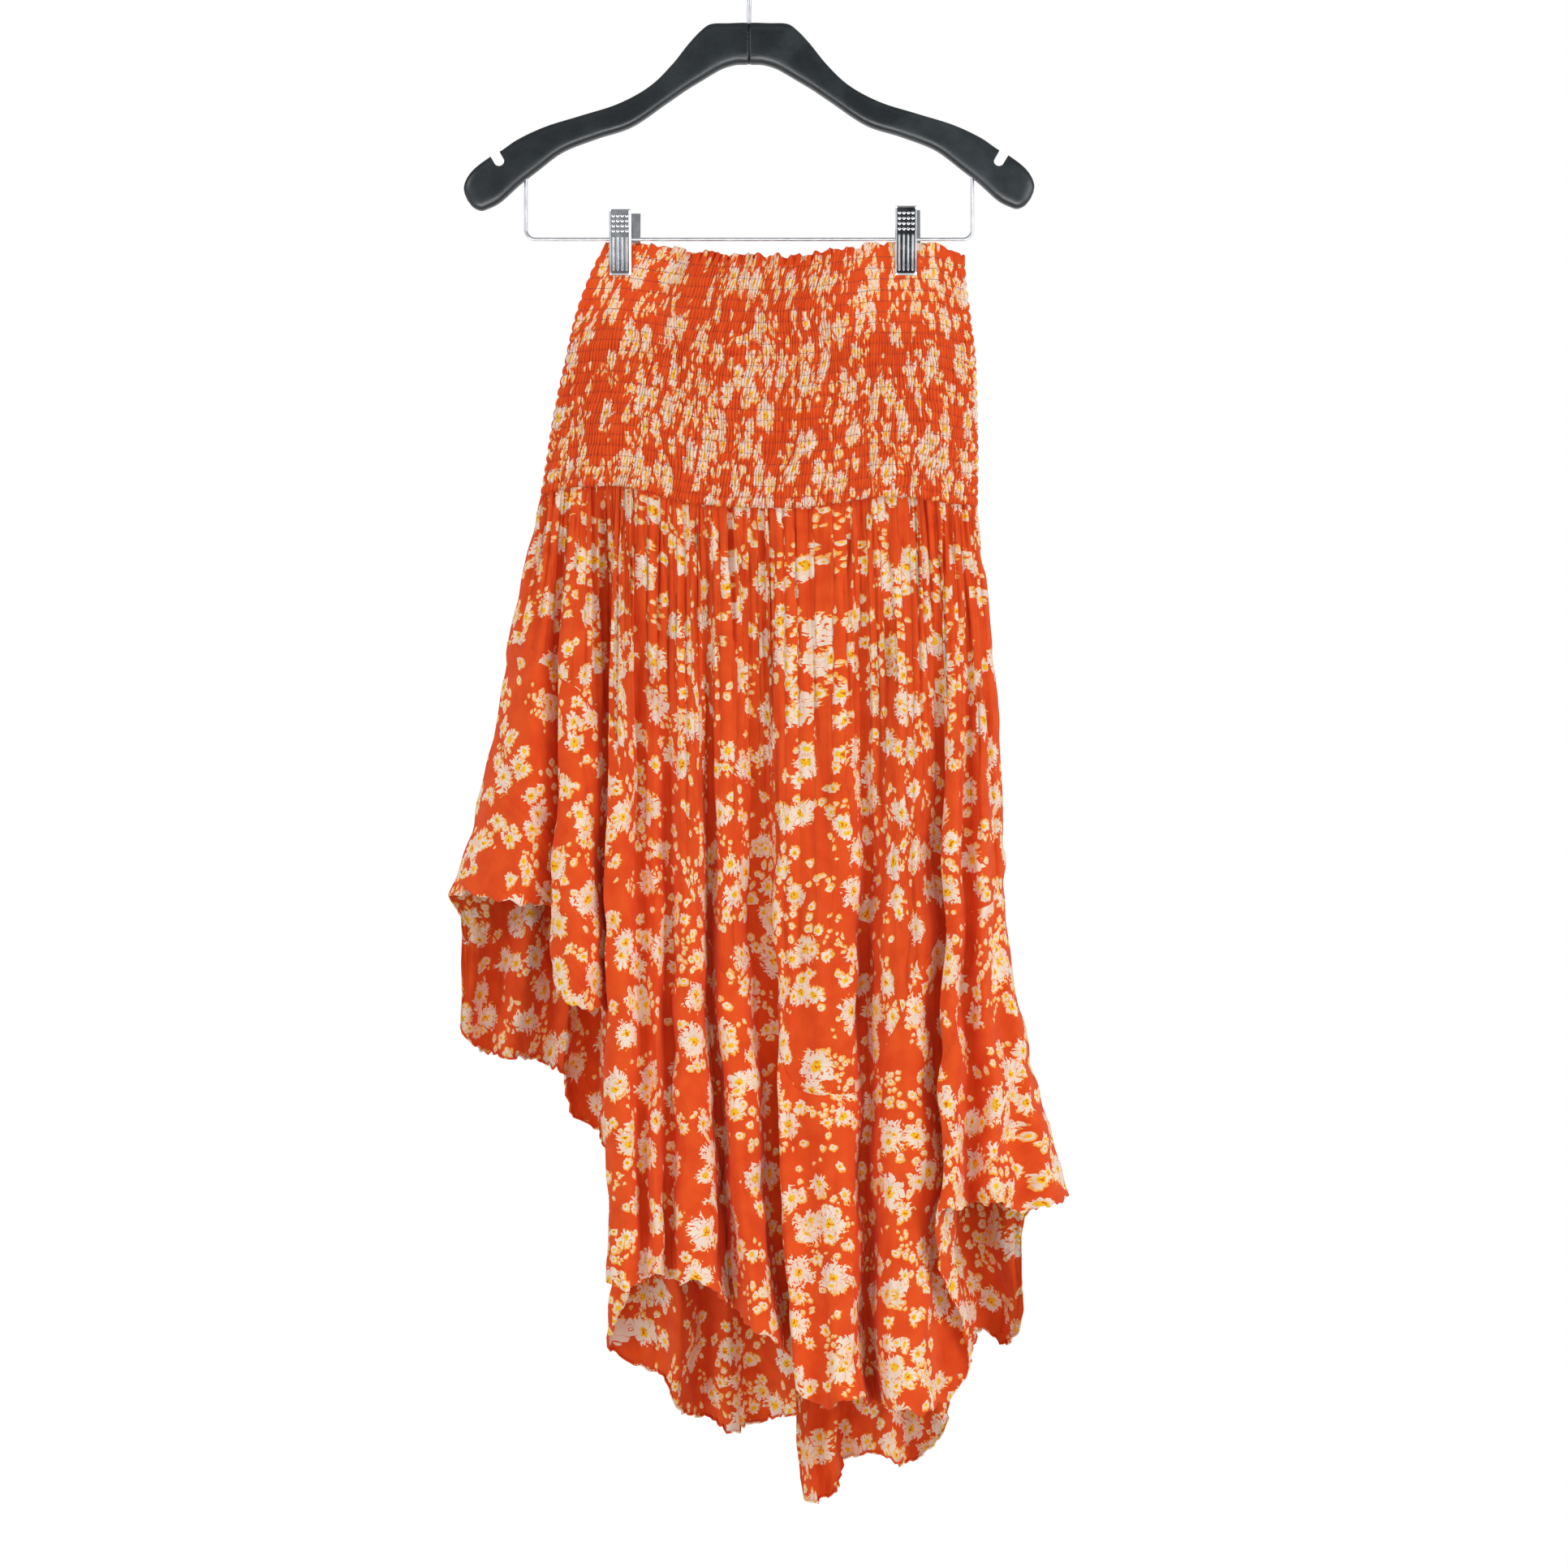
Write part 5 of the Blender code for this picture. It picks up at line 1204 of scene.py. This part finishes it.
def jawPlate(middle, low):
    # A bent plate: the outer face is chamfered all round, loops of points run round it level by level.
    half, chamfer, height = clip["halfWidth"], clip["chamfer"], clip["height"]
    heights = np.linspace(chamfer, height - chamfer, clip["levels"])
    heights = np.concatenate(([0.0], heights, [height]))[:, None]
    x = np.linspace(chamfer - half, half - chamfer, clip["columns"])
    x = np.concatenate(([-half], x, [half]))[None, :]
    inner = lineAt(jawProfile, heights)
    fromEdge = np.minimum(np.minimum(half - np.abs(x), heights), height - heights)
    drop = clip["chamferDrop"] * np.clip(1.0 - fromEdge / chamfer, 0.0, 1.0)
    outer = inner + clip["plate"] - drop
    front = np.stack(np.broadcast_arrays(middle + x, outer, low + heights), axis=-1)
    back = np.stack(np.broadcast_arrays(middle + x[:, ::-1], inner, low + heights), axis=-1)
    loops = np.concatenate((front, back), axis=1)
    return loops, tubeFaces(1, *loops.shape[:2])


def jawRibs(middle, low):
    # Long rounded ribs: tubes sunk in the face whose radius closes at both ends.
    height = np.linspace(clip["ribStart"], clip["ribEnd"], clip["ribRings"])
    depth = lineAt(jawProfile, height) + clip["plate"] - clip["ribSunk"]
    x = middle + (np.arange(clip["ribs"]) - 0.5 * (clip["ribs"] - 1)) * clip["ribPitch"]
    paths = np.stack(np.broadcast_arrays(x[:, None], depth[None, :], low + height[None, :]), axis=-1)
    fromEnd = np.minimum(height - height[0], height[-1] - height)
    radius = clip["ribRadius"] * np.sqrt(np.clip(fromEnd / clip["ribTaper"] + 0.02, 0.0, 1.0))
    rings = tubes(paths, radius, clip["ribSides"], np.array((0.0, 1.0, 0.0)))
    return rings, tubeFaces(*rings.shape[:3])


def jawDots(middle, low):
    # Domes in rows: each is a quarter circle turned round its own middle.
    rise = np.linspace(0.0, 0.5 * math.pi, clip["dotRings"])[:, None]
    turn = 2.0 * math.pi * np.arange(clip["dotSides"])[None, :] / clip["dotSides"]
    radius = clip["dotRadius"] * np.cos(rise)
    depth = clip["dotHeight"] * np.sin(rise) - clip["dotSunk"]
    circle = (radius * np.cos(turn), depth, radius * np.sin(turn))
    dome = np.stack(np.broadcast_arrays(*circle), axis=-1)
    faces = gridFaces(*dome.shape[:2], wrap=True).tolist()
    parts = []
    for row in range(clip["dots"]):
        height = clip["dotStart"] + clip["dotPitch"] * row
        depth = float(lineAt(jawProfile, np.array(height))) + clip["plate"]
        for column in range(clip["dots"]):
            x = middle + (column - 0.5 * (clip["dots"] - 1)) * clip["ribPitch"]
            parts.append((dome + np.array((x, depth, low + height)), faces))
    return joinParts(parts)


def jawEars(middle, low):
    # Two plates that reach in from the jaw to the bar.
    near = bar["radius"] + clip["earGap"]
    base = bar["height"] - low
    bottom, top = clip["earBottom"], clip["earTop"]
    depths = lineAt(jawProfile, np.array((base + bottom, base + top))) + 0.5 * clip["plate"]
    outline = ((near, bar["height"] + bottom), (float(depths[0]), bar["height"] + bottom),
               (float(depths[1]), bar["height"] + top), (near + clip["earSlope"], bar["height"] + top))
    parts = []
    for edge in (-1, 1):
        outer = middle + edge * (clip["halfWidth"] - clip["earInset"])
        inner = outer - edge * clip["earThickness"]
        parts.append(prism(outline, min(outer, inner), max(outer, inner)))
    return joinParts(parts)


def makeJaw(node, middle, low, side, short):
    # One jaw from its plate, ribs, dots and ears, a little shorter where short is below one.
    parts = [shape(middle, low) for shape in (jawPlate, jawRibs, jawDots, jawEars)]
    points, faces = joinParts(parts)
    points[:, 2] = low + (points[:, 2] - low) * short
    if side > 0:
        faces = turnedFaces(faces)
    piece = makePiece(node + "_metal", sideways(points, side), faces, clipChrome, sharp=clip["sharp"])
    fitPiece(node)


def makeSpring(node, middle):
    # A helix of round wire about the bar.
    count = clip["springRings"]
    turn = np.linspace(0.0, 2.0 * math.pi * clip["springTurns"], count)
    x = middle + clip["springLength"] * (np.linspace(0.0, 1.0, count) - 0.5)
    out = np.stack((np.zeros(count), np.cos(turn), np.sin(turn)), axis=-1)
    path = np.stack((x, np.zeros(count), np.full(count, bar["height"])), axis=-1)
    path += out * clip["springRadius"]
    rings = tubes(path[None], clip["springWire"], clip["springSides"], out[None])
    piece = makePiece(node + "_coil", rings, tubeFaces(*rings.shape[:3]), clipChrome)
    fitPiece(node)


for which, (middle, low) in clips.items():
    short = clip["short"][which]
    makeJaw("clip_" + which + "_front", middle, low, -1.0, short)
    makeJaw("clip_" + which + "_back", middle + clip["skew"][which], low, 1.0, short)
    makeSpring("clip_" + which + "_spring", middle)
print("clips ready")

# Floor and sky


def makeFloor():
    # A round pale floor under the hanging cloth.
    corners = stage["floorCorners"]
    turn = 2.0 * math.pi * np.arange(corners) / corners
    rim = np.stack((np.cos(turn), np.sin(turn)), axis=-1) * stage["floorRadius"]
    points = np.concatenate((rim, np.full((corners, 1), stage["floorHeight"])), axis=1) * mm
    mesh = bpy.data.meshes.new("floor")
    mesh.from_pydata(points.tolist(), [], [list(range(corners))])
    material = bpy.data.materials.new("floor")
    put, calc, mix, ramp, noise, join, shader = nodeTools(material)
    speck = noise(put("TexCoord", {}).outputs["Object"], 6.0, 3.0)
    join(mix(speck, shade(236, 235, 232), shade(243, 242, 240)), shader.inputs["Base Color"])
    shader.inputs["Roughness"].default_value = 0.7
    mesh.materials.append(material)
    floor = addObject("floor", mesh)


# Brightness of the studio for the cloth and for what mirrors it. A strip is the height that it runs
# from and to and its brightness; heights and places are parts of a unit direction.
studio = {
    "ambient": 0.67, "ambientSlope": 0.12, "brightSide": (0.1, -0.4, 0.6),
    "roomHeights": (-0.25, 0.35), "floorShine": 0.9, "ceilingShine": 0.3,
    "strips": ((-0.62, -0.38, 9.0), (0.62, 0.78, 2.6)), "stripSoftness": 0.06, "stripFront": (-0.82, -0.68),
    "darkSpot": (0.06, -0.03), "darkWidth": (0.05, 0.21), "darkHeight": (0.27, 0.45),
    "darkFront": (-0.6, -0.2), "darkShine": 0.02,
}


def makeSky():
    # Seen directly the sky is white. It lights the cloth a little more from the upper front, and
    # metal mirrors a bright floor, a darker ceiling, bright strips and a dark spot by the camera.
    world = bpy.data.worlds.new("studio")
    bpy.context.scene.world = world
    put, calc, mix, ramp, noise, join, background = nodeTools(world)
    way = put("TexCoord", {}).outputs["Generated"]
    x, y, z = put("SeparateXYZ", {0: way}).outputs

    def soft(value, edges, first=0.0, last=1.0):
        return ramp(value, *edges, first, last, "SMOOTHSTEP")

    def choose(share, first, second):
        return put("Mix", {0: share, 2: first, 3: second}, data_type="FLOAT")

    side = put("VectorMath", {0: way, 1: studio["brightSide"]}, operation="DOT_PRODUCT")
    ambient = calc("MULTIPLY_ADD", side.outputs["Value"], studio["ambientSlope"], studio["ambient"])
    room = soft(z, studio["roomHeights"], studio["floorShine"], studio["ceilingShine"])
    front = soft(y, studio["stripFront"], 1.0, 0.0)
    blur = studio["stripSoftness"]
    for low, high, shine in studio["strips"]:
        rise = soft(z, (low - blur, low + blur))
        fall = soft(z, (high - blur, high + blur), shine, 0.0)
        room = calc("MULTIPLY_ADD", calc("MULTIPLY", rise, fall), front, room)
    spotX, spotZ = studio["darkSpot"]
    clearX = soft(calc("ABSOLUTE", calc("SUBTRACT", x, spotX)), studio["darkWidth"])
    clearZ = soft(calc("ABSOLUTE", calc("SUBTRACT", z, spotZ)), studio["darkHeight"])
    clear = calc("MAXIMUM", calc("MAXIMUM", clearX, clearZ), soft(y, studio["darkFront"]))
    path = put("LightPath", {})
    mirrored = choose(clear, studio["darkShine"], room)
    unseen = choose(path.outputs["Is Glossy Ray"], ambient, mirrored)
    join(choose(path.outputs["Is Camera Ray"], unseen, 1.0), background.inputs["Strength"])
    background.inputs["Color"].default_value = (1.0, 1.0, 1.0, 1.0)


makeFloor()
makeSky()
for name, (place, size, power) in lights.items():
    makeLight(name, place, size, power)
bpy.context.scene.view_settings.view_transform = "Standard"
bpy.context.scene.view_settings.look = "None"
print("stage ready")
